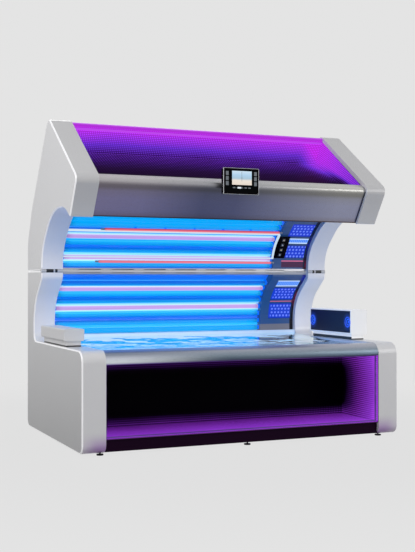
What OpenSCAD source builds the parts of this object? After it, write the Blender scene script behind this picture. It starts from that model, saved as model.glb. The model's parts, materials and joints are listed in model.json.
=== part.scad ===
// Tanning bed with a lamp canopy that tilts down over the bench.
// X runs along the bed, Y from the open front to the back, Z up.
// The origin is on the floor below the middle of the bed, with the canopy raised.

/* [Overall size] */
// Length over both end panels
bed_l = 2300; // [2150:10:2450]
// Depth from the front face to the back face
bed_d = 1420; // [1380:5:1480]
// Height over the raised canopy
bed_h = 2194; // [2150:2:2260]
// Height of the ledges on the end panels
ledge_h = 652; // [630:2:670]
// Height of the seam between base and canopy
seam_h = 1157; // [1140:1:1175]
// Gap between base and canopy at the seam
seam_gap = 4; // [3:0.5:6]

/* [End panels] */
// Thickness of an end panel
panel_t = 156; // [140:2:180]
// Wall of the moulded end shells
shell_w = 5; // [4:0.5:7]
// Bevel along the outer edges of the shells
bevel = 8; // [5:0.5:12]
// Steel side plate that closes each shell and carries the rest
plate_t = 5; // [4:0.5:6]
// Radius of the lower corners of the base panels
low_r = 58; // [40:2:70]
// Radius of the base panels at the front of the ledge
front_r = 80; // [60:2:90]
// Hem of the canopy's nose
nose_r = 50; // [40:1:60]
// Radius at the top of the roof
roof_r = 70; // [50:2:80]

/* [Tunnel] */
// Distance from the edge of the panels at the seam to the back face
tunnel_back = 414; // [400:2:430]
// Distance from the edge of the panels behind the bench to the back face
wall_back = 192; // [180:2:210]
// Height of the arch above the seam
arch_rise = 414; // [404:1:424]
// Thickness of the clear acrylic panes
acrylic_t = 5; // [4:0.5:6]
// How far the lamp panes lie behind the edge of the panels
pane_set = 40; // [34:1:46]

/* [Lamps] */
// Radius of the tanning lamps
lamp_r = 19; // [16:0.5:19]
// Spacing of the lamps around the tunnel
lamp_pitch = 57; // [54:1:62]
// Spacing of the lamps below the bench
bench_pitch = 56; // [52:1:62]
// Radius of the thin red lamps
red_r = 6; // [5:0.5:7]
// Length of a lamp holder along the lamp
holder_l = 18; // [14:1:22]
// Length of the tanner units at the right end
tanner_l = 294; // [270:2:320]

/* [Front recess] */
// Height of the recess floor
recess_floor = 105; // [95:1:120]
// Height of the recess opening's top
recess_top = 564; // [556:1:570]
// Depth of the recess behind the front face
recess_d = 490; // [420:5:520]
// Sheet of the recess linings and covers
sheet_t = 3; // [2:0.5:4]

/* [Canopy recess] */
// How far the recess opening lies below the edge of the panels
roof_set = 27; // [22:1:32]
// Depth of the recess at its top
roof_deep = 200; // [170:5:215]
// Depth of the recess at its bottom
roof_shallow = 95; // [80:5:105]
// How far the silver fascia lies behind the nose of the panels
fascia_set = 19; // [15:1:22]

/* [Lift and hinge] */
// Angle that the canopy tilts down
tilt = 50; // [40:1:50]
// Radius of the hinge pin
pin_r = 8; // [6:0.5:9]
// Radius of the hinge barrels
barrel_r = 14; // [12:0.5:15]
// Running clearance of the pin in its barrel
pin_fit = 0.05; // [0.02:0.01:0.1]
// Distance of the lift rods behind the hinge
lift_y = 284; // [276:1:292]
// Stroke of the lift rods
lift_stroke = 258; // [250:1:264]
// Radius of the lift rods
rod_r = 11; // [9:0.5:13]
// Radius of the lift actuators' tubes
actuator_r = 27; // [22:1:29]

/* [Fans] */
// Radius of the fan rotors
fan_r = 112; // [90:1:118]
// Blades on a fan
fan_blades = 7; // [5:1:9]

/* [Ledge boxes] */
// Width of the boxes on the ledges
box_w = 138; // [120:2:144]
// Length of the boxes on the ledges
box_l = 606; // [560:2:640]
// Height of the left box
left_box_h = 80; // [60:2:110]
// Height of the right speaker box
right_box_h = 182; // [150:2:200]
// Height of the dark feet under the boxes
box_foot = 38; // [20:1:45]

/* [Controls] */
// Width of the display
display_w = 264; // [220:2:300]
// Height of the display
display_h = 177; // [150:1:190]
// Thickness of the display
display_t = 28; // [20:1:34]
// Distance of the display's middle from the middle of the bed
display_x = -16; // [-60:2:60]
// Length of the keypad inside the tunnel
keypad_l = 196; // [170:2:210]
// Travel of the keypad buttons
key_travel = 1.5; // [1:0.1:2]

/* [Feet] */
// Height of the panels above the floor
foot_h = 14; // [12:1:18]
// Radius of a foot
foot_r = 22; // [18:1:26]

/* [Hidden] */
$fn = 48;

// Clearance between neighbours that only touch
fit = 0.3;
// Overshoot that keeps cuts clear of the faces that they open
cut = 1;

// Half lengths: over the panels, and between them
half_l = bed_l / 2;
half_in = half_l - panel_t;
// Distance behind the front face as a Y place
function fy(d) = d - bed_d / 2;
tunnel_y = bed_d - tunnel_back;
wall_y = bed_d - wall_back;
arch_h = seam_h + arch_rise;

// Unit vector, and a vector turned a quarter left
function unit(v) = v / norm(v);
function left(v) = [-v[1], v[0]];
function xy(p) = [p[0], p[1]];

// Round stretch that replaces corner q, given its neighbours p and s; q holds [y, z, radius]
arc_steps = 8;
function corner(p, q, s) =
    q[2] <= 0 ? [xy(q)] :
    let (
        u = unit(xy(p) - xy(q)),
        w = unit(xy(s) - xy(q)),
        half = acos(u * w) / 2,
        mid = xy(q) + unit(u + w) * q[2] / sin(half),
        from = xy(q) + u * q[2] / tan(half) - mid,
        to = xy(q) + w * q[2] / tan(half) - mid,
        start = atan2(from[1], from[0]),
        sweep = (atan2(to[1], to[0]) - start + 540) % 360 - 180
    )
    [for (i = [0:arc_steps]) let (a = start + sweep * i / arc_steps) mid + q[2] * [cos(a), sin(a)]];
// Length of straight edge that the rounding of corner q uses up, and the radius that uses up length t
function half_angle(p, q, s) = acos(unit(xy(p) - xy(q)) * unit(xy(s) - xy(q))) / 2;
function rounding(p, q, s) = q[2] / tan(half_angle(p, q, s));
function radius_for(p, q, s, t) = t * tan(half_angle(p, q, s));

// Closed outline from corners, and the same outline moved inwards by w (corners run anticlockwise);
// a rounded corner keeps at least the radius least
function outline(c) =
    let (n = len(c))
    [for (i = [0:n - 1]) each corner(c[(i + n - 1) % n], c[i], c[(i + 1) % n])];
function moved(p, q, s, w, least = 0) =
    let (
        a = left(unit(xy(q) - xy(p))),
        b = left(unit(xy(s) - xy(q))),
        turn = a[0] * b[1] - a[1] * b[0],
        at = xy(q) + (a + b) * w / (1 + a * b)
    )
    [at[0], at[1], q[2] <= 0 ? 0 : max(least, turn > 0 ? q[2] - w : q[2] + w)];
function inset(c, w, least = 0) =
    let (n = len(c))
    [for (i = [0:n - 1]) moved(c[(i + n - 1) % n], c[i], c[(i + 1) % n], w, least)];

// Open path moved to its left by w, and the rounded line through it
function shifted(c, w) =
    let (n = len(c), a = left(unit(xy(c[1]) - xy(c[0]))), b = left(unit(xy(c[n - 1]) - xy(c[n - 2]))))
    [for (i = [0:n - 1])
        i == 0 ? [c[0][0] + a[0] * w, c[0][1] + a[1] * w, 0] :
        i == n - 1 ? [c[i][0] + b[0] * w, c[i][1] + b[1] * w, 0] :
        moved(c[i - 1], c[i], c[i + 1], w)];
function line(c) =
    let (n = len(c))
    [for (i = [0:n - 1]) each (i == 0 || i == n - 1 ? [xy(c[i])] : corner(c[i - 1], c[i], c[i + 1]))];
function reversed(p) = [for (i = [len(p) - 1:-1:0]) p[i]];
// Strip between two parallels of an open path
function band(c, w0, w1) = concat(line(shifted(c, w0)), reversed(line(shifted(c, w1))));

// Point at distance s along a line of points, and the unit direction there
function along(p, s, i = 0) =
    let (d = norm(p[i + 1] - p[i]))
    s <= d || i >= len(p) - 2 ? p[i] + (p[i + 1] - p[i]) * s / d : along(p, s - d, i + 1);
function total(p, i = 0) = i >= len(p) - 1 ? 0 : norm(p[i + 1] - p[i]) + total(p, i + 1);
near = 4;
function way(p, s) = unit(along(p, s + near) - along(p, max(0, s - near)));

// Everything below is extruded along X from outlines in the Y Z plane
module slab(x0, x1) {
    translate([x0, 0, 0]) rotate([90, 0, 90]) linear_extrude(x1 - x0) children();
}
module both_ends() {
    children();
    mirror([1, 0, 0]) children();
}
module block(x0, x1, y0, y1, z0, z1) {
    translate([x0, y0, z0]) cube([x1 - x0, y1 - y0, z1 - z0]);
}
module rod(x0, x1, y, z, r) {
    translate([x0, y, z]) rotate([0, 90, 0]) cylinder(h = x1 - x0, r = r);
}
module tube(x0, x1, y0, y1, z0, z1, wall) {
    difference() {
        block(x0, x1, y0, y1, z0, z1);
        block(x0 - cut, x1 + cut, y0 + wall, y1 - wall, z0 + wall, z1 - wall);
    }
}
// Local frame at distance s along line p: X as before, Y along the line, Z to the line's left
module on_line(p, s) {
    at = along(p, s);
    d = way(p, s);
    translate([0, at[0], at[1]]) rotate([atan2(d[1], d[0]), 0, 0]) children();
}

// Base outline
seam_lo = seam_h - seam_gap / 2;
seam_hi = seam_h + seam_gap / 2;
edge_r = 6;
step_h = 54;
step_r = 40;
ledge_r = 60;
pane_foot = ledge_h + 38;
// Share of the way from the seam to the ledge at which the rear wall bends, and share of the rest that is round
bend_share = 0.4772;
wall_share = 0.6174;
wall_bend = (seam_h - ledge_h) * bend_share;
wall_top = [fy(tunnel_y), seam_h - step_h];
wall_knee = [fy(wall_y), seam_h - wall_bend];
wall_foot = [fy(wall_y), pane_foot];
wall_r = radius_for(wall_top, wall_knee, wall_foot, wall_share * norm(wall_foot - wall_knee));
base_back = fy(bed_d);
base_corners = [
    [fy(0), foot_h, low_r], [base_back, foot_h, low_r], [base_back, seam_lo, edge_r],
    [fy(tunnel_y), seam_lo, edge_r], concat(wall_top, step_r),
    concat(wall_knee, wall_r), [fy(wall_y), ledge_h, ledge_r], [fy(0), ledge_h, front_r]
];

// Canopy outline; its places behind the front face keep their share of the tunnel's depth
plan_y = 1006;
function ty(d) = fy(d * tunnel_y / plan_y);
back_bend = [198, 70];
shoulder = [120, 443, 120];
ridge = [828, 25.4];
nose = [125, 584];
tip = [285, 337, 12];
seam_rail = 20;
// Arch from the seam to the tip: three corners, each round over a share of a straight edge beside it
arch_foot = [fy(tunnel_y), seam_hi];
arch_low = arch_foot + [0, 140];
arch_mid = [ty(732), arch_h];
arch_high = [ty(410), arch_h];
arch_tip = [ty(tip[0]), seam_h + tip[1]];
low_share = 0.9715;
mid_share = 0.5631;
high_share = 0.6753;
arch_r1 = radius_for(arch_foot, arch_low, arch_mid, low_share * (norm(arch_low - arch_foot) - seam_rail));
arch_r2 = radius_for(arch_low, arch_mid, arch_high, mid_share * norm(arch_high - arch_mid));
arch_r3 = radius_for(arch_mid, arch_high, arch_tip, high_share * norm(arch_tip - arch_high));
canopy_corners = [
    [fy(tunnel_y), seam_hi, edge_r], [base_back, seam_hi, edge_r],
    [base_back, seam_h + back_bend[0], back_bend[1]],
    [base_back - shoulder[0], seam_h + shoulder[1], shoulder[2]],
    [ty(ridge[0]), bed_h + ridge[1], roof_r], [ty(nose[0]), seam_h + nose[1], nose_r],
    concat(arch_tip, tip[2]), concat(arch_high, arch_r3), concat(arch_mid, arch_r2), concat(arch_low, arch_r1)
];
// Places of the roof's two upper corners in that list
RIDGE = 4;
NOSE = 5;

// Lamp walls: the edge of the panels, run from the seam rails down and up
base_wall = [
    [fy(tunnel_y), seam_lo - seam_rail, 0], concat(wall_top, step_r),
    concat(wall_knee, wall_r), concat(wall_foot, 0)
];
// The lamps of the canopy end this far behind the tip, measured along the arch
tip_strip = 80;
arch_way = unit(arch_high - arch_tip);
arch_end = arch_tip + arch_way * tip_strip;
pane_share = 0.954;
pane_r3 = radius_for(arch_mid, arch_high, arch_tip, pane_share * norm(arch_high - arch_end));
canopy_wall = [
    [fy(tunnel_y), seam_hi + seam_rail, 0], concat(arch_low, arch_r1), concat(arch_mid, arch_r2),
    concat(arch_high, pane_r3), concat(arch_end, 0)
];
// Layers behind the edge of the panels: pane, gap, lamp, gap, reflector
lamp_gap = 4;
lamp_set = pane_set + acrylic_t + lamp_gap + lamp_r;
mirror_gap = 6;
mirror_t = 2;
mirror_set = lamp_set + lamp_r + mirror_gap;
base_line = line(shifted(base_wall, lamp_set));
canopy_line = line(shifted(canopy_wall, -lamp_set));
// The reflector of the rear wall starts just below the seam rail
wall_way = unit(wall_knee - wall_top);
mirror_back = mirror_set + mirror_t;
mirror_start = (seam_h - step_h + wall_way[0] * mirror_back - seam_lo + seam_rail + 1) / -wall_way[1];
base_mirror = [concat(wall_top + wall_way * mirror_start, 0), base_wall[2], base_wall[3]];
// First lamp of each wall, measured from the seam
base_first = 104;
canopy_first = 22;
base_count = floor((total(base_line) - base_first - lamp_r) / lamp_pitch) + 1;
canopy_count = floor((total(canopy_line) - canopy_first - lamp_r) / lamp_pitch) + 1;
// Lamps come in threes, the middle one lilac
function lilac(i) = i % 3 == 1;
function base_at(i) = base_first + i * lamp_pitch;
function canopy_at(i) = canopy_first + i * lamp_pitch;
// Span of the lamp walls along the bed: from the left side plate to the tanner units
wall_x0 = -half_in;
wall_x1 = half_in - tanner_l;

// Hinge line
hinge_y = fy(tunnel_y) + barrel_r - 2;
hinge_z = seam_h;
notch_r = barrel_r + 3;

// Solid end panel of the right end; a ring of flat strips bevels its outer edge
bevel_r = 1.5;
bevel_w = 16;
module bevelled(corners) {
    full = outline(corners);
    small = outline(inset(corners, bevel, bevel_r));
    inner = outline(inset(corners, bevel_w, bevel_r));
    n = len(full);
    x_mid = half_l - bevel;
    points = concat(
        [for (p = full) [x_mid, p[0], p[1]]], [for (p = small) [half_l, p[0], p[1]]],
        [for (p = inner) [half_l, p[0], p[1]]], [for (p = inner) [x_mid, p[0], p[1]]]
    );
    faces = [for (k = [0:3], i = [0:n - 1])
        let (j = (i + 1) % n, a = k * n, b = ((k + 1) % 4) * n)
        each [[b + j, a + j, a + i], [b + i, b + j, a + i]]];
    polyhedron(points, faces, convexity = 6);
    slab(half_in, half_l) polygon(inner);
    slab(half_in, x_mid) polygon(full);
}
module hinge_notch() {
    rod(half_in - cut, half_l + cut, hinge_y, hinge_z, notch_r);
}
// Room for the lift arm and fork where they pass the seam
arm_t = 10;
fork_gap = 0.5;
fork_t = 6;
lift_x = half_l - panel_t / 2;
slot_half = arm_t / 2 + fork_gap + fork_t + 3;
slot_front = 62;
slot_back = 78;
module lift_slot(z0, z1) {
    y = hinge_y + lift_y;
    block(lift_x - slot_half, lift_x + slot_half, y - slot_front, y + slot_back, z0, z1);
}

// Feet and the tubes that they carry
tube_w = 40;
tube_t = 3;
frame_z = foot_h + shell_w + 13;
cover_z = foot_h + 6;
foot_x = half_in + plate_t + tube_w / 2;
foot_hole = 12;
foot_front = 50;
foot_back = 60;
rear_set = 30;
rear_y = base_back - rear_set;

module base_end_shell() {
    color("#e4e4e6") difference() {
        bevelled(base_corners);
        slab(half_in - cut, half_l - shell_w) polygon(outline(inset(base_corners, shell_w)));
        hinge_notch();
        lift_slot(seam_lo - shell_w - cut, seam_lo + cut);
        for (y = [fy(foot_front), base_back - foot_back])
            translate([foot_x, y, foot_h - cut]) cylinder(h = 3 * shell_w, r = foot_hole);
    }
}
module right_base_end_shell() { base_end_shell(); }
module left_base_end_shell() { mirror([1, 0, 0]) base_end_shell(); }

module canopy_end_shell() {
    color("#e8e8ea") difference() {
        bevelled(canopy_corners);
        slab(half_in - cut, half_l - shell_w) polygon(outline(inset(canopy_corners, shell_w)));
        hinge_notch();
        lift_slot(seam_hi - cut, seam_hi + shell_w + cut);
    }
}
module right_canopy_end_shell() { canopy_end_shell(); }
module left_canopy_end_shell() { mirror([1, 0, 0]) canopy_end_shell(); }

module side_plate(corners) {
    difference() {
        slab(half_in, half_in + plate_t) polygon(outline(inset(corners, shell_w + fit)));
        hinge_notch();
    }
}
module base_side_plates() { color("#dcdce2") both_ends() side_plate(base_corners); }
module canopy_side_plates() { color("#dcdce2") both_ends() side_plate(canopy_corners); }

// Bench: a shallow dish that rises a little at the back
bench_y0 = fy(front_r + 16);
bench_y1 = fy(wall_y) + 2;
bench_drop = 3;
bench_rise = 18;
bench_dish = 20;
bench_steps = 16;
function bench_z(y) =
    let (u = (y - bench_y0) / (bench_y1 - bench_y0))
    ledge_h - bench_drop + (bench_rise + bench_drop) * u - 4 * bench_dish * u * (1 - u);
function dish(y0, y1, drop) =
    [for (i = [0:bench_steps]) let (y = y0 + (y1 - y0) * i / bench_steps) [y, bench_z(y) - drop]];
bench_axis = acrylic_t + lamp_gap + lamp_r;
bench_mirror = bench_axis + lamp_r + mirror_gap;
bench_edge = 44;
bench_count = floor((bench_y1 - bench_y0 - 2 * bench_edge) / bench_pitch) + 1;
function bench_at(i) = bench_y0 + bench_edge + i * bench_pitch;

// Silver rail along the front of the bench, with a lip under the acrylic
rail_lip = 12;
rail_flange = 50;
rail_set = 2;
rail_path = [
    [fy(rail_flange), recess_top, 0], [fy(rail_set), recess_top, 8],
    [fy(rail_set), ledge_h - rail_set, front_r - rail_set - 1], [bench_y0, ledge_h - rail_set, 0]
];
module bench_front_rail() {
    lip_z = bench_z(bench_y0 + rail_lip) - acrylic_t - fit;
    color("#b9bcc0") {
        slab(-half_in, half_in) polygon(band(rail_path, 0, -sheet_t));
        block(-half_in, half_in, bench_y0 - sheet_t, bench_y0,
              lip_z - sheet_t, ledge_h - rail_set - sheet_t);
        block(-half_in, half_in, bench_y0, bench_y0 + rail_lip, lip_z - sheet_t, lip_z);
    }
}
module bench_acrylic() {
    y0 = bench_y0 + fit;
    y1 = bench_y1 - fit;
    color("#bcd8f2", 0.5) slab(-half_in + fit, half_in - fit)
        polygon(concat(dish(y0, y1, acrylic_t), reversed(dish(y0, y1, 0))));
}

// Rails along the rear wall: a slotted one under the seam and a plain one behind the bench
slot_l = 170;
slot_step = 250;
slot_h = 5;
rail_front = 34;
rail_back = 104;
module slotted_rail(z0, z1) {
    difference() {
        tube(-half_in, half_in, fy(tunnel_y) + rail_front, fy(tunnel_y) + rail_back, z0, z1, sheet_t);
        for (x = [-half_in + slot_step / 2:slot_step:half_in - slot_step])
            block(x, x + slot_l, fy(tunnel_y) + rail_front - cut, fy(tunnel_y) + rail_front + sheet_t + cut,
                  (z0 + z1 - slot_h) / 2, (z0 + z1 + slot_h) / 2);
    }
}
bench_back_w = 50;
module rear_wall_rails() {
    lip_z = bench_z(bench_y1 - rail_lip) - acrylic_t - fit;
    color("#c9ccd2") slotted_rail(seam_lo - seam_rail, seam_lo);
    color("#eef0f4") {
        block(-half_in, half_in, bench_y1, bench_y1 + bench_back_w, lip_z - 2 * sheet_t, pane_foot);
        block(-half_in, half_in, bench_y1 - rail_lip, bench_y1, lip_z - 2 * sheet_t, lip_z);
    }
}
module rear_wall_acrylic() {
    color("#9fd0ff", 0.4) slab(wall_x0, wall_x1) polygon(band(base_wall, pane_set, pane_set + acrylic_t));
}

// Reflector of folded sheet with a ridge between neighbouring lamps; side is 1 or -1 towards the tunnel
ridge_h = 15;
ridge_w = 15;
module ridges(p, first, count, side) {
    foot = lamp_set - mirror_set;
    for (i = [0:count - 2]) {
        s = first + (i + 0.5) * lamp_pitch;
        a = along(p, s) + left(way(p, s)) * side * (foot - mirror_t / 2);
        b = way(p, s) * ridge_w / 2;
        n = left(way(p, s)) * side * (ridge_h + mirror_t / 2);
        slab(wall_x0, wall_x1) polygon([a - b, a + b, a + n]);
    }
}
mirror_edge = rail_lip + 6;
module base_reflectors() {
    y0 = bench_y0 + mirror_edge;
    y1 = bench_y1 - mirror_edge;
    color("#d7e6f7") {
        slab(wall_x0, wall_x1) polygon(band(base_mirror, mirror_set, mirror_back));
        ridges(base_line, base_first, base_count, -1);
        slab(-half_in, half_in)
            polygon(concat(dish(y0, y1, bench_mirror + mirror_t), reversed(dish(y0, y1, bench_mirror))));
    }
}
module canopy_reflector() {
    color("#d7e6f7") {
        slab(wall_x0, wall_x1) polygon(band(canopy_wall, -mirror_set, -mirror_back));
        ridges(canopy_line, canopy_first, canopy_count, 1);
    }
}

// Fluorescent lamp between two holders: a glass tube closed by two caps
cap_l = 22;
cap_in = 1;
glass_t = 1.5;
module lamp(x0, x1, y, z, r) {
    difference() {
        rod(x0 + cap_l, x1 - cap_l, y, z, r);
        rod(x0 + cap_l - cut, x1 - cap_l + cut, y, z, r - glass_t);
    }
    rod(x0, x0 + cap_l, y, z, r - cap_in);
    rod(x1 - cap_l, x1, y, z, r - cap_in);
}
module wall_lamps(p, first, count, is_lilac) {
    for (i = [0:count - 1]) if (lilac(i) == is_lilac) {
        at = along(p, first + i * lamp_pitch);
        lamp(wall_x0 + holder_l, wall_x1 - holder_l, at[0], at[1], lamp_r);
    }
}
module rear_wall_uv_lamps() { color("#1ea4ff") wall_lamps(base_line, base_first, base_count, false); }
module rear_wall_lilac_lamps() { color("#cfa6ee") wall_lamps(base_line, base_first, base_count, true); }
module canopy_uv_lamps() { color("#1ea4ff") wall_lamps(canopy_line, canopy_first, canopy_count, false); }
module canopy_lilac_lamps() { color("#cfa6ee") wall_lamps(canopy_line, canopy_first, canopy_count, true); }
module bench_lamps() {
    end = half_in - holder_l;
    color("#6fc0ff") for (i = [0:bench_count - 1])
        lamp(-end, end, bench_at(i), bench_z(bench_at(i)) - bench_axis, lamp_r);
}

holder_w = 30;
holder_top = 10;
holder_gap = 0.9;
// Holder in the frame of its lamp: Z points to the tunnel
module holder(side) {
    foot = mirror_set - lamp_set;
    low = side > 0 ? holder_gap - foot : -holder_top;
    for (x = [wall_x0, wall_x1 - holder_l])
        translate([x, -holder_w / 2, low]) cube([holder_l, holder_w, foot + holder_top - holder_gap]);
}
module base_lamp_holders() {
    color("#f2f2f2") {
        for (i = [0:base_count - 1]) on_line(base_line, base_at(i)) holder(-1);
        for (i = [0:bench_count - 1]) both_ends() {
            y = bench_at(i);
            foot = max(bench_z(y - holder_w / 2), bench_z(y + holder_w / 2)) - bench_mirror;
            block(half_in - holder_l, half_in, y - holder_w / 2, y + holder_w / 2,
                  foot + fit, bench_z(y) - bench_axis + holder_top);
        }
    }
}

// Red lamps stand on clips in front of the panes
red_at = [55, 365];
red_out = 28;
red_x0 = wall_x0 + 241;
red_x1 = wall_x1 - 4;
red_socket = 26;
clip_w = 14;
clip_l = 12;
clips = 5;
pane_out = lamp_set - pane_set;
socket_wall = 1.5;
axis = pane_out + red_out - acrylic_t;
module canopy_red_lamps() {
    color("#e8505a") for (s = red_at) on_line(canopy_line, s) {
        rod(red_x0, red_x1, 0, axis, red_r);
        for (x = [red_x0, red_x1 - red_socket]) rod(x, x + red_socket, 0, axis, red_r + socket_wall);
    }
}
module canopy_lamp_holders() {
    step = (red_x1 - red_x0 - 2 * red_socket - clip_l) / (clips + 1);
    color("#f2f2f2") {
        for (i = [0:canopy_count - 1]) on_line(canopy_line, canopy_at(i)) holder(1);
        for (s = red_at, i = [1:clips]) on_line(canopy_line, s) {
            x = red_x0 + red_socket + step * i;
            difference() {
                translate([x, -clip_w / 2, pane_out + fit]) cube([clip_l, clip_w, axis - pane_out - fit]);
                rod(x - cut, x + clip_l + cut, 0, axis, red_r + fit / 2);
            }
        }
    }
}
module canopy_acrylic() {
    color("#9fd0ff", 0.4) slab(wall_x0, wall_x1)
        polygon(band(canopy_wall, -pane_set, -pane_set - acrylic_t));
}

// Part of a lamp wall between distances s0 and s1, from d0 to d1 on the left of its line
strip_steps = 8;
function parallel(p, s0, s1, d) =
    [for (i = [0:strip_steps]) let (s = s0 + (s1 - s0) * i / strip_steps) along(p, s) + left(way(p, s)) * d];
function strip(p, s0, s1, d0, d1) = concat(parallel(p, s0, s1, d0), reversed(parallel(p, s0, s1, d1)));

// Raised pane over the middle lamps of the canopy
centre_s = [90, 340];
centre_out = pane_out + 26;
centre_end = 12;
module canopy_centre_pane() {
    color("#c8e4ff", 0.4) {
        slab(wall_x0, wall_x1 - centre_end) {
            polygon(strip(canopy_line, centre_s[0], centre_s[1], centre_out - acrylic_t, centre_out));
            for (s = [centre_s[0], centre_s[1] - acrylic_t])
                polygon(strip(canopy_line, s, s + acrylic_t, pane_out + fit, centre_out));
        }
        slab(wall_x1 - centre_end - acrylic_t, wall_x1 - centre_end)
            polygon(strip(canopy_line, centre_s[0], centre_s[1], pane_out + 2 * fit, centre_out));
    }
}
module canopy_seam_rail() { color("#c9ccd2") slotted_rail(seam_hi, seam_hi + seam_rail); }

// Tanner units: curved housings at the right end, with windows let into their skins
skin_t = 4;
window_t = 3;
window_x0 = wall_x1 + 72;
window_x1 = half_in - 14;
// Start and end of each window, measured from the seam along the lamps
base_windows = [[37, 108], [124, 262], [272, 280], [293, 433]];
canopy_windows = [[14, 60], [64, 72], [93, 215], [232, 288], [307, 450]];
module tanner_housing(wall, mirror_wall, p, side, windows) {
    skin = side * (pane_set - skin_t);
    end_front = line(shifted(wall, skin));
    end_back = line(shifted(mirror_wall, side * mirror_back));
    near_side = -side * (pane_out - skin_t);
    far_side = -side * (pane_out + 3 * skin_t);
    difference() {
        union() {
            slab(wall_x1, half_in) polygon(band(wall, skin, side * pane_set));
            slab(wall_x1, wall_x1 + skin_t) polygon(concat(end_front, reversed(end_back)));
        }
        for (w = windows) slab(window_x0 - fit, window_x1 + fit)
            polygon(strip(p, w[0] - fit, w[1] + fit, near_side, far_side));
    }
}
module tanner_windows(p, side, windows) {
    for (w = windows)
        slab(window_x0, window_x1)
            polygon(strip(p, w[0], w[1], -side * (pane_out + fit), -side * (pane_out + fit + window_t)));
}
module shoulder_tanner_housing() {
    color("#30507c") tanner_housing(base_wall, base_mirror, base_line, 1, base_windows);
}
module shoulder_tanner_windows() { color("#2a55e8") tanner_windows(base_line, 1, base_windows); }
module face_tanner_housing() {
    color("#30507c") tanner_housing(canopy_wall, canopy_wall, canopy_line, -1, canopy_windows);
}
module face_tanner_windows() { color("#2a55e8") tanner_windows(canopy_line, -1, canopy_windows); }

// Lower front of the base
recess_front = 6;
plinth_set = 24;
plinth_t = 6;
led_h = 7;
led_w = 14;
module front_recess_liner() {
    y0 = fy(recess_front);
    y1 = fy(recess_d);
    color("#7a2bd6") {
        block(-half_in, half_in, y0, y1, recess_floor - sheet_t, recess_floor);
        both_ends() block(half_in - sheet_t, half_in, y0, y1, recess_floor, recess_top);
        block(-half_in, half_in, fy(rail_flange), y1, recess_top, recess_top + sheet_t);
    }
}
module front_recess_back() {
    color("#08060c") block(-half_in, half_in, fy(recess_d), fy(recess_d) + sheet_t + 1,
                           recess_floor - sheet_t, recess_top + sheet_t);
}
module front_led_strips() {
    x1 = half_in - sheet_t;
    x0 = x1 - led_h;
    low_y = fy(plinth_set);
    high_y = fy(rail_flange);
    color("#d060ff") {
        block(-x0, x0, low_y, low_y + led_w, recess_floor, recess_floor + led_h);
        both_ends() block(x0, x1, low_y, low_y + led_w, recess_floor, recess_top);
        block(-x0, x0, high_y, high_y + led_w, recess_top - led_h, recess_top);
    }
}
module toe_kick_plinth() {
    top = recess_floor - sheet_t;
    color("#0c0c10") {
        block(-half_in, half_in, fy(plinth_set), fy(plinth_set) + plinth_t, cover_z, top);
        block(-half_in, half_in, fy(recess_front), fy(plinth_set), top - sheet_t, top);
    }
}

// Base frame of welded square tube, with a tray for the ballasts
bearer_w = 25;
mid_x = 350;
cross_x = 620;
tray_l = 900;
tray_y0 = recess_d + 70;
tray_t = 3;
top_tube_z = seam_lo - 60;
// Square tube along Y, shut at both ends by what it is welded to or open when cut clear
module tube_y(x0, x1, y0, y1, z0, z1, wall, over) {
    difference() {
        block(x0, x1, y0, y1, z0, z1);
        block(x0 + wall, x1 - wall, y0 - over, y1 + over, z0 + wall, z1 - wall);
    }
}
bearer_edge = rail_lip + 10;
module base_frame() {
    rail_x0 = half_in + plate_t;
    front = fy(foot_front) - tube_w / 2;
    back = rear_y - sheet_t - tube_w;
    mirror_low = bench_mirror + mirror_t + fit;
    bearer0 = bench_y0 + bearer_edge;
    bearer1 = bench_y1 - bearer_edge - bearer_w;
    bearer0_z = bench_z(bearer0 + bearer_w) - mirror_low;
    bearer1_z = bench_z(bearer1) - mirror_low;
    color("#55585e") {
        for (y = [front, back]) tube(-half_in, half_in, y, y + tube_w, frame_z, frame_z + tube_w, tube_t);
        both_ends() tube_y(rail_x0, rail_x0 + tube_w, front, base_back - foot_back + tube_w / 2,
                           frame_z, frame_z + tube_w, tube_t, cut);
        for (x = [-cross_x, 0, cross_x])
            tube_y(x - tube_w / 2, x + tube_w / 2, front + tube_w - cut, back + cut,
                   frame_z, frame_z + tube_w, tube_t, -cut);
        block(-tray_l, tray_l, fy(tray_y0), back - tube_w, frame_z + tube_w, frame_z + tube_w + tray_t);
        tube(-half_in, half_in, bearer0, bearer0 + bearer_w, recess_top + sheet_t, bearer0_z, tube_t);
        tube(-half_in, half_in, bearer1, bearer1 + bearer_w, bearer1_z - bearer_w, bearer1_z, tube_t);
        tube(-half_in, half_in, back, back + tube_w, top_tube_z, top_tube_z + tube_w, tube_t);
        for (x = [-mid_x, mid_x])
            block(x - tube_w / 2, x + tube_w / 2, back, back + tube_w, frame_z + tube_w, top_tube_z);
    }
}
// Levelling foot: a pad on a threaded stud with a nut
foot_pad = 8;
stud_r = 5;
nut_r = 9;
nut_h = 6;
module foot(x, y) {
    translate([x, y, 0]) {
        cylinder(h = foot_pad, r = foot_r);
        cylinder(h = frame_z, r = stud_r);
        translate([0, 0, frame_z - nut_h]) cylinder(h = nut_h, r = nut_r, $fn = 6);
    }
}
module levelling_feet() {
    color("#1b1b1e") {
        for (x = [-foot_x, foot_x], y = [fy(foot_front), base_back - foot_back]) foot(x, y);
        for (y = [fy(foot_front), rear_y - sheet_t - tube_w / 2]) foot(0, y);
    }
}

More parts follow.
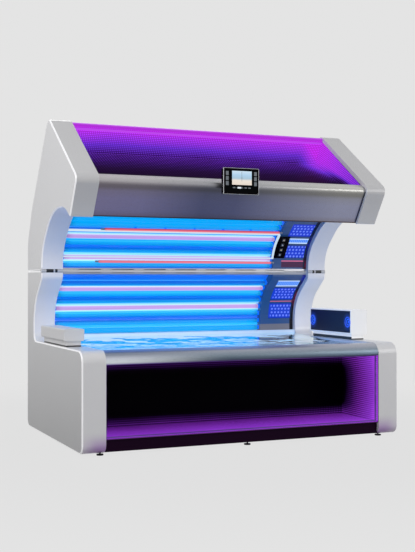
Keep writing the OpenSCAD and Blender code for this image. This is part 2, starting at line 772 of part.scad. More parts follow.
// Electrical units on the tray
ballast = [230, 74, 52];
ballast_step = [285, 130];
ballast_cols = 6;
ballast_rows = 3;
ballast_in = 40;
fin_gaps = 5;
fin_gap_w = 10;
fin_deep = 8;
module ballast() {
    difference() {
        cube(ballast);
        for (k = [1:fin_gaps]) translate([k * ballast[0] / (fin_gaps + 1), -cut, ballast[2] - fin_deep])
            cube([fin_gap_w, ballast[1] + 2 * cut, fin_deep + cut]);
    }
}
module ballast_units() {
    z = frame_z + tube_w + tray_t;
    x0 = -(ballast_cols - 1) / 2 * ballast_step[0] - ballast[0] / 2;
    color("#9a9da2") for (i = [0:ballast_cols - 1], j = [0:ballast_rows - 1])
        translate([x0 + i * ballast_step[0], fy(tray_y0) + ballast_in + j * ballast_step[1], z]) ballast();
}

// Cooling fans at the back
fan_x = 600;
fan_z = 300;
fan_wall = 14;
fan_depth = 62;
fan_gap = 3;
motor_r = 34;
motor_h = 20;
hub_h = 30;
shaft_r = 4;
shaft_fit = 0.05;
spoke = [10, 8];
blade = [44, 3];
blade_angle = 38;
fan_y = rear_y - sheet_t;
module along_y(x, y, z) {
    translate([x, y, z]) rotate([-90, 0, 0]) children();
}
module fan_housing(x) {
    side = 2 * (fan_r + fan_wall);
    along_y(x, fan_y - fan_depth, fan_z) {
        difference() {
            translate([-side / 2, -side / 2, 0]) cube([side, side, fan_depth]);
            translate([0, 0, -cut]) cylinder(h = fan_depth + 2 * cut, r = fan_r + fan_gap);
        }
        cylinder(h = motor_h, r = motor_r);
        cylinder(h = motor_h + 1 + hub_h, r = shaft_r);
        for (a = [0:120:240]) rotate(a) translate([motor_r - 2, -spoke[0] / 2, 0])
            cube([fan_r + fan_gap + 4 - motor_r, spoke[0], spoke[1]]);
    }
}
module base_fan_housings() { color("#26272b") for (x = [-fan_x, fan_x]) fan_housing(x); }
module fan_rotor(x) {
    along_y(x, fan_y - fan_depth + motor_h + 1, fan_z) difference() {
        union() {
            cylinder(h = hub_h, r = motor_r + 2);
            intersection() {
                cylinder(h = hub_h, r = fan_r);
                for (a = [0:fan_blades - 1]) rotate(a * 360 / fan_blades)
                    translate([motor_r - 6, 0, hub_h / 2]) rotate([blade_angle, 0, 0])
                        translate([0, -blade[0] / 2, -blade[1] / 2]) cube([fan_r, blade[0], blade[1]]);
            }
        }
        translate([0, 0, -cut]) cylinder(h = hub_h + 2 * cut, r = shaft_r + shaft_fit);
    }
}
module left_fan_rotor() { color("#3a3b40") fan_rotor(-fan_x); }
module right_fan_rotor() { color("#3a3b40") fan_rotor(fan_x); }

// Rear cover: an upright sheet with fan grilles and louvre slots, and a shelf under the seam
grille_ring = 7;
grille_web = 6;
louvre = [110, 7];
louvre_step = [150, 22];
louvre_cols = 5;
louvre_rows = 10;
louvre_z = 620;
gland_x = -780;
gland_z = 110;
gland_r = 8;
gland_wall = 6;
module grille(x) {
    through = sheet_t + 2 * cut;
    difference() {
        for (r = [motor_r + 6:grille_ring + grille_web:fan_r - grille_ring]) along_y(x, fan_y - cut, fan_z)
            difference() {
                cylinder(h = through, r = r + grille_ring);
                translate([0, 0, -cut]) cylinder(h = through + 2 * cut, r = r);
            }
        for (a = [0:60:120]) translate([x, fan_y, fan_z]) rotate([0, a, 0])
            cube([2 * fan_r, 2 * (through + cut), grille_web], center = true);
    }
}
module base_rear_cover() {
    top = seam_lo - shell_w;
    through = sheet_t + 2 * cut;
    louvre_x = -(louvre_cols - 1) / 2 * louvre_step[0] - louvre[0] / 2;
    color("#d9dadd") difference() {
        union() {
            block(-half_in, half_in, fan_y, rear_y, cover_z, top);
            block(-half_in, half_in, fy(tunnel_y) + rail_back, rear_y, top - sheet_t, top);
        }
        for (x = [-fan_x, fan_x]) grille(x);
        for (i = [0:louvre_cols - 1], j = [0:louvre_rows - 1])
            translate([louvre_x + i * louvre_step[0], fan_y - cut, louvre_z + j * louvre_step[1]])
                cube([louvre[0], through, louvre[1]]);
        along_y(gland_x, fan_y - cut, gland_z) cylinder(h = through, r = gland_r + gland_wall + fit);
    }
}
gland_out = 26;
gland_in = 12;
gland_nut = [20, 8, 6];
module cable_gland() {
    long = gland_in + sheet_t + gland_out;
    color("#1b1b1e") along_y(gland_x, fan_y - gland_in, gland_z) difference() {
        union() {
            cylinder(h = long, r = gland_r + gland_wall);
            translate([0, 0, gland_in + sheet_t]) cylinder(h = gland_nut[1], r = gland_nut[0], $fn = 6);
            translate([0, 0, gland_in - gland_nut[2]]) cylinder(h = gland_nut[2], r = gland_nut[0], $fn = 6);
        }
        translate([0, 0, -cut]) cylinder(h = long + 2 * cut, r = gland_r);
    }
}

// Boxes on the ledges
box_r = 12;
box_foot_in = 18;
left_box_y = fy(440);
right_box_y = fy(385);
box_edge = 8;
module ledge_box(x0, y0, h) {
    z0 = ledge_h + box_foot;
    corners = [[x0, z0, box_r], [x0 + box_w, z0, box_r], [x0 + box_w, z0 + h, box_r], [x0, z0 + h, box_r]];
    translate([0, y0 + box_l, 0]) rotate([90, 0, 0]) linear_extrude(box_l) polygon(outline(corners));
    block(x0 + box_foot_in, x0 + box_w - box_foot_in, y0 + box_foot_in, y0 + box_l - box_foot_in,
          ledge_h, z0);
}
module left_ledge_box() { color("#ececec") ledge_box(-half_l + box_edge, left_box_y, left_box_h); }
speaker_r = 32;
speaker_in = 45;
panel_edge = 9;
panel_in = 6;
speaker_deep = 30;
speaker_x = half_l - box_edge - box_w;
speaker_z = ledge_h + box_foot + right_box_h / 2;
function speaker_at(i) = right_box_y + (i == 0 ? speaker_in : box_l - speaker_in);
module along_x(x, y, z) {
    translate([x, y, z]) rotate([0, 90, 0]) children();
}
module panel_field(x0, x1, play) {
    block(x0, x1, right_box_y + panel_edge + play, right_box_y + box_l - panel_edge - play,
          ledge_h + box_foot + box_r + play, ledge_h + box_foot + right_box_h - panel_edge - play);
}
module speaker_holes(r) {
    for (i = [0, 1]) along_x(speaker_x, speaker_at(i), speaker_z) cylinder(h = speaker_deep, r = r);
}
module right_speaker_box() {
    color("#ececec") difference() {
        ledge_box(speaker_x, right_box_y, right_box_h);
        panel_field(speaker_x - cut, speaker_x + panel_in, 0);
        speaker_holes(speaker_r + 3);
    }
}
// Half section of a speaker: dust cap, cone, rolled edge and magnet
speaker_back = speaker_deep - 2;
speaker_section = [
    [0, 12], [8, 11], [speaker_r - 6, 3], [speaker_r - 4, 0], [speaker_r, 0], [speaker_r, 5],
    [14, speaker_back], [0, speaker_back]
];
module speaker_panel() {
    color("#1c1c46") difference() {
        panel_field(speaker_x + 1, speaker_x + panel_in, fit);
        speaker_holes(speaker_r + fit);
    }
    color("#2f58d8") for (i = [0, 1]) along_x(speaker_x + 1, speaker_at(i), speaker_z)
        rotate_extrude() polygon(speaker_section);
}

// Hinge: black barrels on a pin through each end panel at the front of the seam
ear_l = 34;
web_front = 4;
web_back = 62;
web_z = 24;
web_t = 6;
web_w = 12;
knuckle_x0 = half_in + plate_t + ear_l + fork_gap;
knuckle_x1 = half_l - ear_l - 2 - fork_gap;
module base_hinge_brackets() {
    ears = [[half_in + 1, half_in + plate_t + ear_l], [half_l - ear_l - 2, half_l - 2]];
    color("#141416") both_ends() {
        for (e = ears) {
            rod(e[0], e[1], hinge_y, hinge_z, barrel_r);
            block(max(e[0], half_in + plate_t), min(e[1], half_l - shell_w - 1),
                  hinge_y - web_front, hinge_y + web_w, hinge_z - web_z, hinge_z - barrel_r / 2);
        }
        rod(half_in + 1, half_l - 2, hinge_y, hinge_z, pin_r);
        block(half_in + plate_t, half_l - shell_w - 1, hinge_y - web_front, hinge_y + web_back,
              hinge_z - web_z - web_t, hinge_z - web_z);
    }
}

// Canopy side of the hinge, with the slotted arm that the lift rod pushes
arm_z = -118;
arm_low = -166;
slot_play = 3.3;
slot_r0 = 280;
slot_r1 = 316;
slot_angle = -tilt / 2;
arm_front = 56;
arm_back = 34;
module canopy_hinge_arms() {
    slot_w = pin_r + slot_play;
    web_low = hinge_z + web_z;
    plate_x = half_in + plate_t;
    arm_x = lift_x + arm_t / 2;
    arm = [
        [lift_y - arm_front, web_z + web_t, 0], [lift_y - arm_front, arm_z - 22, 22],
        [lift_y - 22, arm_low, 18],
        [lift_y + arm_back, arm_low + 8, 24], [lift_y + arm_back, web_z + web_t, 0]
    ];
    color("#141416") both_ends() difference() {
        union() {
            rod(knuckle_x0, knuckle_x1, hinge_y, hinge_z, barrel_r);
            block(knuckle_x0, knuckle_x1, hinge_y - web_front, hinge_y + web_w,
                  hinge_z + barrel_r / 2, web_low);
            block(plate_x, knuckle_x1, hinge_y - web_front, hinge_y + web_back, web_low, web_low + web_t);
            block(plate_x, arm_x, hinge_y + web_back, hinge_y + lift_y + arm_back, web_low, web_low + web_t);
            translate([0, hinge_y, hinge_z]) slab(arm_x - arm_t, arm_x) polygon(outline(arm));
        }
        rod(knuckle_x0 - cut, knuckle_x1 + cut, hinge_y, hinge_z, pin_r + pin_fit);
        translate([0, hinge_y, hinge_z]) rotate([slot_angle, 0, 0]) {
            for (r = [slot_r0, slot_r1]) rod(lift_x - arm_t, lift_x + arm_t, r, 0, slot_w);
            block(lift_x - arm_t, lift_x + arm_t, slot_r0, slot_r1, -slot_w, slot_w);
        }
    }
}

// Electric lift: a spindle tube fixed to the side plate, and a rod with a fork and a cross pin
pin_z = -lift_stroke / 2;
fork_low = 50;
fork_foot = 12;
fork_high = 14;
fork_half = 14;
tube_top = pin_z - fork_low - fork_foot - 14;
guide = 50;
rod_end = tube_top - lift_stroke - guide;
tube_low = rod_end - 20;
gland_h = 30;
motor = [60, 60, 110];
bracket = [40, 24];
bracket_at = [20, 60];
module lift_rods() {
    out = arm_t / 2 + fork_gap;
    color("#b4b8be") both_ends() translate([lift_x, hinge_y + lift_y, hinge_z]) {
        translate([0, 0, rod_end]) cylinder(h = pin_z - fork_low - rod_end, r = rod_r);
        translate([-out - fork_t, -fork_half, pin_z - fork_low - fork_foot])
            cube([2 * (out + fork_t), 2 * fork_half, fork_foot]);
        for (x = [-out - fork_t, out])
            translate([x, -fork_half, pin_z - fork_low]) cube([fork_t, 2 * fork_half, fork_low + fork_high]);
        rod(-out - fork_t, out + fork_t, 0, pin_z, pin_r);
    }
}
module lift_actuators() {
    color("#2a2b30") both_ends() translate([lift_x, hinge_y + lift_y, hinge_z]) difference() {
        union() {
            translate([0, 0, tube_low]) cylinder(h = tube_top - tube_low, r = actuator_r);
            translate([-motor[0] / 2, -motor[1] / 2, tube_low - motor[2]]) cube(motor);
            for (z = [tube_low + bracket_at[0], tube_top - bracket_at[1]])
                translate([half_in + plate_t - lift_x, -bracket[0] / 2, z])
                    cube([lift_x - half_in - plate_t, bracket[0], bracket[1]]);
        }
        translate([0, 0, rod_end - 10]) cylinder(h = tube_top - gland_h - rod_end + 10, r = rod_r + 5);
        translate([0, 0, rod_end]) cylinder(h = tube_top - rod_end + cut, r = rod_r + pin_fit);
    }
}

// Roof of the canopy: the slope of the recess opening and its four corners
slope = inset(canopy_corners, roof_set);
slope_way = unit(xy(slope[RIDGE]) - xy(slope[NOSE]));
into = -left(slope_way);
cover_set = 7;
back_skin = inset(canopy_corners, cover_set);
// The mouth ends clear of the roundings at the nose and at the ridge
lower_edge = 72;
lip_r = 4;
lip_clear = 1.25;
roof_rounding = rounding(back_skin[RIDGE - 1], back_skin[RIDGE], back_skin[NOSE]);
upper_edge = (xy(slope[RIDGE]) - xy(back_skin[RIDGE])) * slope_way + roof_rounding + lip_r + lip_clear;
mouth_low = xy(slope[NOSE]) + slope_way * lower_edge;
mouth_high = xy(slope[RIDGE]) - slope_way * upper_edge;
deep_low = mouth_low + into * roof_shallow;
deep_high = mouth_high + into * roof_deep;
module canopy_recess_liner() {
    up = slope_way * sheet_t;
    start = mouth_low + into * (sheet_t + 1);
    color("#7a2bd6") {
        slab(-half_in, half_in) {
            polygon([mouth_high, deep_high, deep_high + up, mouth_high + up]);
            polygon([start, start - up, deep_low - up, deep_low]);
        }
        both_ends() slab(half_in - sheet_t, half_in) polygon([mouth_high, start, deep_low, deep_high]);
    }
}
module canopy_recess_back() {
    run = unit(deep_high - deep_low);
    off = -left(run);
    a = deep_low - run * sheet_t + off * 2 * fit;
    b = deep_high + run * sheet_t + off * 2 * fit;
    color("#08060c") slab(-half_in, half_in) polygon([a, a + off * sheet_t, b + off * sheet_t, b]);
}
module canopy_led_strip() {
    a = mouth_high + into * 8 - slope_way * 0.1;
    color("#d060ff") slab(-half_in + sheet_t + fit, half_in - sheet_t - fit)
        polygon([a, a + into * led_w, a + into * led_w - slope_way * led_h, a - slope_way * led_h]);
}
fascia_r = 34;
fascia_tip = arch_tip + arch_way * fascia_set;
fascia_nose = inset(canopy_corners, fascia_set)[NOSE];
arch_out = left(arch_way);
fascia_bend = 4;
fascia_turn = arch_end - arch_way * fascia_bend;
fascia_end = fascia_turn + arch_out * (pane_set + acrylic_t);
fascia_path = [
    [mouth_low[0], mouth_low[1], 0], [fascia_nose[0], fascia_nose[1], fascia_r],
    [fascia_tip[0], fascia_tip[1], fascia_bend], [fascia_turn[0], fascia_turn[1], fascia_bend],
    [fascia_end[0], fascia_end[1], 0]
];
module canopy_fascia() { color("#b6b8bd") slab(-half_in, half_in) polygon(band(fascia_path, 0, sheet_t)); }

// Back cover, with rows of vents above the shoulder
hood = [90, 7];
hood_step = [130, 20];
hood_cols = 11;
hood_rows = 9;
hood_start = 89;
module canopy_back_cover() {
    lip = mouth_high - into * (roof_set - cover_set);
    path = [
        [fy(tunnel_y) + rail_back, seam_hi + cover_set, 0],
        [base_back - cover_set, seam_hi + cover_set, cover_set],
        back_skin[2], back_skin[3], back_skin[RIDGE], [lip[0], lip[1], lip_r], [mouth_high[0], mouth_high[1], 0]
    ];
    run = unit(xy(back_skin[RIDGE]) - xy(back_skin[3]));
    foot = xy(back_skin[3]) + run * (rounding(back_skin[2], back_skin[3], back_skin[RIDGE]) + hood_start);
    hood_x = -(hood_cols - 1) / 2 * hood_step[0] - hood[0] / 2;
    color("#d9dadd") difference() {
        slab(-half_in, half_in) polygon(band(path, 0, sheet_t));
        translate([0, foot[0], foot[1]]) rotate([atan2(run[1], run[0]), 0, 0])
            for (i = [0:hood_cols - 1], j = [0:hood_rows - 1])
                translate([hood_x + i * hood_step[0], j * hood_step[1], -sheet_t])
                    cube([hood[0], hood[1], 3 * sheet_t]);
    }
}

// Canopy frame: tubes between the side plates, joined by two ribs behind the recess
rib_x = 330;
rib_t = 6;
frame_w = 30;
ridge_tube = deep_high + [-16, 62];
nose_tube = deep_low + [-20, -50];
back_tube = [base_back, seam_h + back_bend[0]] + [-70, -48];
low_tube = [base_back, seam_hi + seam_rail] + [-60, -2];
// Corners of a rib: inside the tubes that it is welded to, and behind the recess
rib_in = 4;
rib_knee = [40, -200];
rib_top = [14, 10];
rib_waist = [14, -60];
function rib_corner(tube, y_far, z_far) =
    tube + [y_far ? frame_w - rib_in : rib_in, z_far ? frame_w - rib_in : rib_in];
module canopy_frame() {
    rib = [
        rib_corner(nose_tube, false, false), deep_high + rib_knee, rib_corner(back_tube, false, false),
        rib_corner(back_tube, true, true), rib_corner(ridge_tube, true, false),
        rib_corner(ridge_tube, false, false), deep_high + rib_top, deep_high + rib_waist,
        rib_corner(nose_tube, true, true)
    ];
    color("#55585e") {
        for (t = [ridge_tube, nose_tube, back_tube, low_tube])
            tube(-half_in, half_in, t[0], t[0] + frame_w, t[1], t[1] + frame_w, tube_t);
        for (x = [-rib_x, rib_x]) {
            slab(x - rib_t / 2, x + rib_t / 2) polygon(rib);
            block(x - rib_t / 2, x + rib_t / 2, back_tube[0] + 2, back_tube[0] + frame_w - 2,
                  low_tube[1] + frame_w - 2, back_tube[1] + 2);
        }
    }
}

// Display on the nose of the canopy
display_out = 15;
display_up = 11;
display_y = ty(nose[0]) - display_out;
display_z = seam_h + nose[1] + display_up;
bezel = 10;
screen_in = 2;
// Neck behind the display, reaching the fascia
neck_w = 90;
neck_h = 44;
neck_l = 90;
neck_out = 62;
neck_low = 52;
module upright(y0, y1) {
    translate([0, y1, 0]) rotate([90, 0, 0]) linear_extrude(y1 - y0) children();
}
module face_plan(edge, r) {
    w = display_w / 2 - edge;
    h = display_h / 2 - edge;
    translate([display_x, display_z]) polygon(outline([[-w, -h, r], [w, -h, r], [w, h, r], [-w, h, r]]));
}
module display_housing() {
    back = display_y + display_t;
    color("#15161a") {
        difference() {
            upright(display_y, back) face_plan(0, bezel);
            upright(display_y - cut, display_y + screen_in) face_plan(bezel, bezel / 2);
        }
        difference() {
            block(display_x - neck_w / 2, display_x + neck_w / 2, back, back + neck_l,
                  display_z - neck_low, display_z - neck_low + neck_h);
            slab(display_x - neck_w, display_x + neck_w) polygon(line(shifted(fascia_path, -fit)));
            block(display_x - neck_w, display_x + neck_w, back + neck_out, back + 2 * neck_l,
                  display_z - display_h, display_z + display_h);
        }
    }
}
module display_screen() {
    color("#cfe2f2") upright(display_y + fit, display_y + screen_in) face_plan(bezel + fit, bezel / 2);
}

// Keypad on the tanner housing beside the raised pane
key_s = 208;
key_x0 = wall_x1 - centre_end + 1;
key_w = 100;
key_top = pane_out + skin_t + 26;
key_size = 26;
key_step = 44;
key_depth = 8;
key_proud = 2;
key_at = along(canopy_line, key_s);
key_way = way(canopy_line, key_s);
key_up = left(key_way);
function key_place(i) = (i - 1.5) * key_step;
// Square column on the keypad's face, in the frame of key i; Z points out of the face
module key_column(i, size, z0, z1) {
    translate([key_x0 + key_w / 2, key_at[0], key_at[1]]) rotate([atan2(key_way[1], key_way[0]), 0, 0])
        translate([-size / 2, key_place(i) - size / 2, z0]) cube([size, size, z1 - z0]);
}
module keypad_panel() {
    half = keypad_l / 2;
    curve = parallel(canopy_line, key_s - half, key_s + half, pane_out + skin_t + fit);
    top = [for (side = [1, -1]) key_at + key_way * side * half + key_up * key_top];
    color("#101014") difference() {
        slab(key_x0, key_x0 + key_w) polygon(concat(curve, top));
        for (i = [0:3]) key_column(i, key_size + 2 * fit, key_top - key_depth, key_top + cut);
    }
}
module key(i) {
    color("#3c3f48") key_column(i, key_size, key_top - key_depth + key_travel + fit, key_top + key_proud);
}
module start_button() { key(0); }
module fan_button() { key(1); }
module face_button() { key(2); }
module sound_button() { key(3); }

base_frame();
levelling_feet();
base_side_plates();
left_base_end_shell();
right_base_end_shell();
toe_kick_plinth();
front_recess_liner();
front_recess_back();
front_led_strips();
bench_front_rail();
bench_acrylic();
base_reflectors();
bench_lamps();
base_lamp_holders();
rear_wall_uv_lamps();
rear_wall_lilac_lamps();
rear_wall_acrylic();
rear_wall_rails();
shoulder_tanner_housing();
shoulder_tanner_windows();
base_rear_cover();
ballast_units();
base_fan_housings();
left_fan_rotor();
right_fan_rotor();
left_ledge_box();
right_speaker_box();
speaker_panel();
base_hinge_brackets();
lift_actuators();
lift_rods();
cable_gland();
canopy_frame();
canopy_side_plates();
left_canopy_end_shell();
right_canopy_end_shell();
canopy_recess_liner();
canopy_recess_back();
canopy_led_strip();
canopy_fascia();
canopy_back_cover();
canopy_reflector();
canopy_uv_lamps();
canopy_lilac_lamps();
canopy_red_lamps();
canopy_lamp_holders();
canopy_acrylic();
canopy_centre_pane();
canopy_seam_rail();
face_tanner_housing();
face_tanner_windows();
canopy_hinge_arms();
display_housing();
display_screen();
keypad_panel();
start_button();
fan_button();
face_button();
sound_button();
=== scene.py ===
import json
from math import atan2, cos, hypot, pi, radians, sin, tau
import bmesh
import bpy
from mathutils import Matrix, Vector


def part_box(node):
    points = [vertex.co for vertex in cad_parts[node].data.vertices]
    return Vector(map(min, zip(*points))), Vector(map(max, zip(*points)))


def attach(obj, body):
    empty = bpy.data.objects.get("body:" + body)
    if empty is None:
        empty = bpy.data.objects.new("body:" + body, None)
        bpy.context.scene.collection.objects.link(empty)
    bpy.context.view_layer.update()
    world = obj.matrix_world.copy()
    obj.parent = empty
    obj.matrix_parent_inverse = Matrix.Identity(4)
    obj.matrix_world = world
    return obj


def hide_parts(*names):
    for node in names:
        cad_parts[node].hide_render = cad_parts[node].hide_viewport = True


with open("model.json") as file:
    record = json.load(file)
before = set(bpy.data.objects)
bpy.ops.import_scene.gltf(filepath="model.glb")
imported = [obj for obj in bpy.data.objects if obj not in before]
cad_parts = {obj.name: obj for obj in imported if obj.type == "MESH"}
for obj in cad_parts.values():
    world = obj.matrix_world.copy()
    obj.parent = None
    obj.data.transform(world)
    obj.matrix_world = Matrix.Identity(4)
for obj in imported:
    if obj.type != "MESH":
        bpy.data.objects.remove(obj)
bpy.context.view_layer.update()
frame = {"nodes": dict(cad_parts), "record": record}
nodes = frame["nodes"]
scene = bpy.context.scene
slotOf = {part["node"]: part["material_slot"] for part in frame["record"]["subparts"]}
print("bed loaded:", len(nodes), "nodes")

# materials are kept by name, and shader nodes are laid in the tree that was opened last
materials = {}
opened = {}
black = (0, 0, 0, 1)


def shade(red, green, blue):
    def linear(level):
        level /= 255
        return level / 12.92 if level <= 0.04045 else ((level + 0.055) / 1.055) ** 2.4
    return (linear(red), linear(green), linear(blue), 1)


def stops(*rows):
    # stops of a colour ramp, from rows of place, red, green and blue
    return [(place, shade(*colour)) for place, *colour in rows]


def openTree(owner):
    owner.use_nodes = True
    opened["tree"] = owner.node_tree
    opened["tree"].nodes.clear()


def newMaterial(name):
    materials[name] = bpy.data.materials.new(name)
    openTree(materials[name])


def addNode(kind, inputs, **settings):
    made = opened["tree"].nodes.new("ShaderNode" + kind)
    for key, value in settings.items():
        setattr(made, key, value)
    for key, value in inputs.items():
        if isinstance(value, bpy.types.NodeSocket):
            opened["tree"].links.new(value, made.inputs[key])
        else:
            made.inputs[key].default_value = value
    return made.outputs


def maths(operation, first, *others, clamp=False):
    for other in others or (0,):
        first = addNode("Math", {0: first, 1: other}, operation=operation, use_clamp=clamp)[0]
    return first


def times(*values):
    return maths("MULTIPLY", *values)


def plus(*values):
    return maths("ADD", *values)


def minus(*values):
    return maths("SUBTRACT", *values)


def sizeOf(value):
    return maths("ABSOLUTE", value)


def mapped(value, low, high, toLow=0, toHigh=1, kind="LINEAR"):
    inputs = {"Value": value, "From Min": low, "From Max": high, "To Min": toLow, "To Max": toHigh}
    return addNode("MapRange", inputs, interpolation_type=kind)["Result"]


def eased(value, low, high, toLow=0, toHigh=1):
    return mapped(value, low, high, toLow, toHigh, "SMOOTHSTEP")


def between(factor, a, b):
    return addNode("Mix", {0: factor, 2: a, 3: b})[0]


def blended(factor, a, b, kind="MIX"):
    return addNode("Mix", {0: factor, 6: a, 7: b}, data_type="RGBA", blend_type=kind)[2]


def colourRamp(value, rows):
    colour = addNode("ValToRGB", {"Fac": value})["Color"]
    elements = colour.node.color_ramp.elements
    while len(elements) < len(rows):
        elements.new(0.5)
    for element, row in zip(elements, rows):
        element.position, element.color = row
    return colour


def vectorMath(operation, a, b=(0, 0, 0)):
    return addNode("VectorMath", {0: a, 1: b}, operation=operation)


def scaled(colour, share):
    return addNode("VectorMath", {0: colour, "Scale": share}, operation="SCALE")[0]


def restPoint():
    return addNode("TexCoord", {})["Object"]


def restNormal():
    return addNode("TexCoord", {})["Normal"]


def axesOf(vector):
    return addNode("SeparateXYZ", {0: vector})


def noise(scale, detail=3, stretch=None):
    point = restPoint()
    if stretch:
        point = addNode("Mapping", {"Vector": point, "Scale": stretch})[0]
    return addNode("TexNoise", {"Vector": point, "Scale": scale, "Detail": detail})["Fac"]


def bumped(height, distance, strength=0.3):
    return addNode("Bump", {"Strength": strength, "Distance": distance, "Height": height})[0]


def attribute(name):
    return addNode("Attribute", {}, attribute_name=name)["Fac"]


def mixShader(factor, a, b):
    return addNode("MixShader", {0: factor, 1: a, 2: b})[0]


def output(shader):
    addNode("OutputMaterial", {"Surface": shader})


surfaceInputs = dict(
    normal="Normal", metallic="Metallic", specular="Specular IOR Level", coat="Coat Weight",
    coatRough="Coat Roughness", glow="Emission Color", strength="Emission Strength",
)


def paint(colour, rough, **more):
    inputs = {surfaceInputs[key]: value for key, value in more.items()}
    output(addNode("BsdfPrincipled", {"Base Color": colour, "Roughness": rough, **inputs})[0])


# everyday finishes: a broad mottle, and a fine grain that is stretched where the metal is brushed
finishes = {
    "shell": dict(colour=(0.8, 0.8, 0.805), rough=(0.25, 0.35), mottle=0.04, grain=420, depth=0.0004,
        coat=0.3),
    "plate": dict(colour=(0.74, 0.74, 0.78), rough=(0.32, 0.44), mottle=0.06, grain=700, depth=0.0005),
    "frame": dict(colour=(0.07, 0.073, 0.08), rough=(0.4, 0.6), mottle=0.3, grain=500, depth=0.0008),
    "rail": dict(colour=(0.5, 0.51, 0.55), rough=(0.24, 0.4), mottle=0.08, grain=900, depth=0.0002,
        metallic=0.9, stretch=(0.02, 1, 1)),
    "cover": dict(colour=(0.66, 0.66, 0.68), rough=(0.39, 0.51), mottle=0.07, grain=650, depth=0.0006),
    "black": dict(colour=(0.01, 0.008, 0.012), rough=(0.4, 0.6), mottle=0.3, grain=800, depth=0.0006,
        specular=0.15),
    "black_metal": dict(colour=(0.014, 0.014, 0.017), rough=(0.28, 0.44), mottle=0.3, grain=600,
        depth=0.0005, metallic=0.3),
    "black_gloss": dict(colour=(0.002, 0.001, 0.003), rough=(0.08, 0.16), mottle=0.2, grain=90,
        depth=0.0002, specular=0.04),
    "unit": dict(colour=(0.36, 0.37, 0.39), rough=(0.3, 0.5), mottle=0.15, grain=400, depth=0.0005,
        metallic=0.6),
    "rod": dict(colour=(0.62, 0.63, 0.65), rough=(0.16, 0.28), mottle=0.05, grain=1200, depth=0.0002,
        metallic=1, stretch=(1, 1, 0.03)),
    "key": dict(colour=(0.045, 0.05, 0.065), rough=(0.32, 0.48), mottle=0.2, grain=1500, depth=0.0003),
}

# painted light and shade on the end shells; each range is from and to, then the values at both
shellLook = dict(
    sides=(0.4, 0.9), lowShade=(0, 1.25, 0.42, 1),  # painted shade: the end faces grow darker downwards
    # painted shade: the front faces grow darker high up
    front=(0.2, 0.5, 1, 0), high=(1.3, 1.7), highShade=0.8,
    violet=shade(150, 70, 185),  # painted violet light that the recess throws on the lowest edges
    violetHeight=(0.012, 0.16, 0.8, 0), violetEnds=(1.04, 1.15, 1, 0.3),
    violetDepth=(-0.62, -0.42, 1, 0), violetSides=(0.3, 0.9, 1, 0.1),
    # painted highlight on the slanted edge faces
    rim=(0.97, 0.97, 0.98, 1), highlightFrom=(0.25, 0.6), highlightTo=(0.8, 0.96, 1, 0), highlightGlow=0.18,
    # painted lamp light on the faces that look into the tunnel
    lamp=(0.44, 0.46, 0.62, 1), lampShare=0.26, lampFacing=(0.4, 0.7), lampHeight=(0.67, 0.73),
)
tunnelMiddle = (-0.25, 1.05)  # Y and Z of a point inside the tunnel


def flatPoint():
    return vectorMath("MULTIPLY", restPoint(), (0, 1, 1))[0]


def towardsTunnel():
    # 1 on a face that looks straight at the middle of the tunnel, 0 square to it, -1 away from it
    way = vectorMath("SUBTRACT", (0,) + tunnelMiddle, flatPoint())[0]
    return vectorMath("DOT_PRODUCT", vectorMath("NORMALIZE", way)[0], restNormal())["Value"]


def paintedShellLight(colour):
    look = shellLook
    x, y, height = axesOf(restPoint())
    side = sizeOf(axesOf(restNormal())[0])
    # painted shade: the end faces darker downwards, and the front faces darker high up
    shaded = scaled(colour, mapped(height, *look["lowShade"]))
    colour = blended(eased(side, *look["sides"]), colour, shaded)
    onHigh = times(eased(height, *look["high"]), eased(side, *look["front"]))
    colour = blended(onHigh, colour, scaled(colour, look["highShade"]))
    # painted violet light of the recess on the lowest edges
    violet = times(eased(height, *look["violetHeight"]), eased(sizeOf(x), *look["violetEnds"]),
        eased(y, *look["violetDepth"]), eased(side, *look["violetSides"]))
    colour = blended(violet, colour, look["violet"])
    # painted highlight: a bright rim on the slanted edge faces, which also glows a little
    rim = times(eased(side, *look["highlightFrom"]), eased(side, *look["highlightTo"]))
    colour = blended(rim, colour, look["rim"])
    # painted soft blue light of the lamps on the faces that look into the tunnel
    inward = times(eased(towardsTunnel(), *look["lampFacing"]), eased(height, *look["lampHeight"]))
    paintedGlow = maths("MAXIMUM", times(rim, look["highlightGlow"]), times(inward, look["lampShare"]))
    return colour, {"glow": blended(inward, look["rim"], look["lamp"]), "strength": paintedGlow}


def makeFinish(name):
    look = finishes[name]
    newMaterial(name)
    fine = noise(look["grain"], stretch=look.get("stretch"))
    dark = tuple(level * (1 - look["mottle"]) for level in look["colour"])
    colour = blended(noise(2.3, 2), look["colour"] + (1,), dark + (1,))
    colour, light = paintedShellLight(colour) if name == "shell" else (colour, {})
    rough = mapped(fine, 0.3, 0.7, *look["rough"])
    more = {key: look[key] for key in ("metallic", "specular", "coat") if key in look}
    paint(colour, rough, normal=bumped(fine, look["depth"], 0.35), coatRough=0.08, **more, **light)
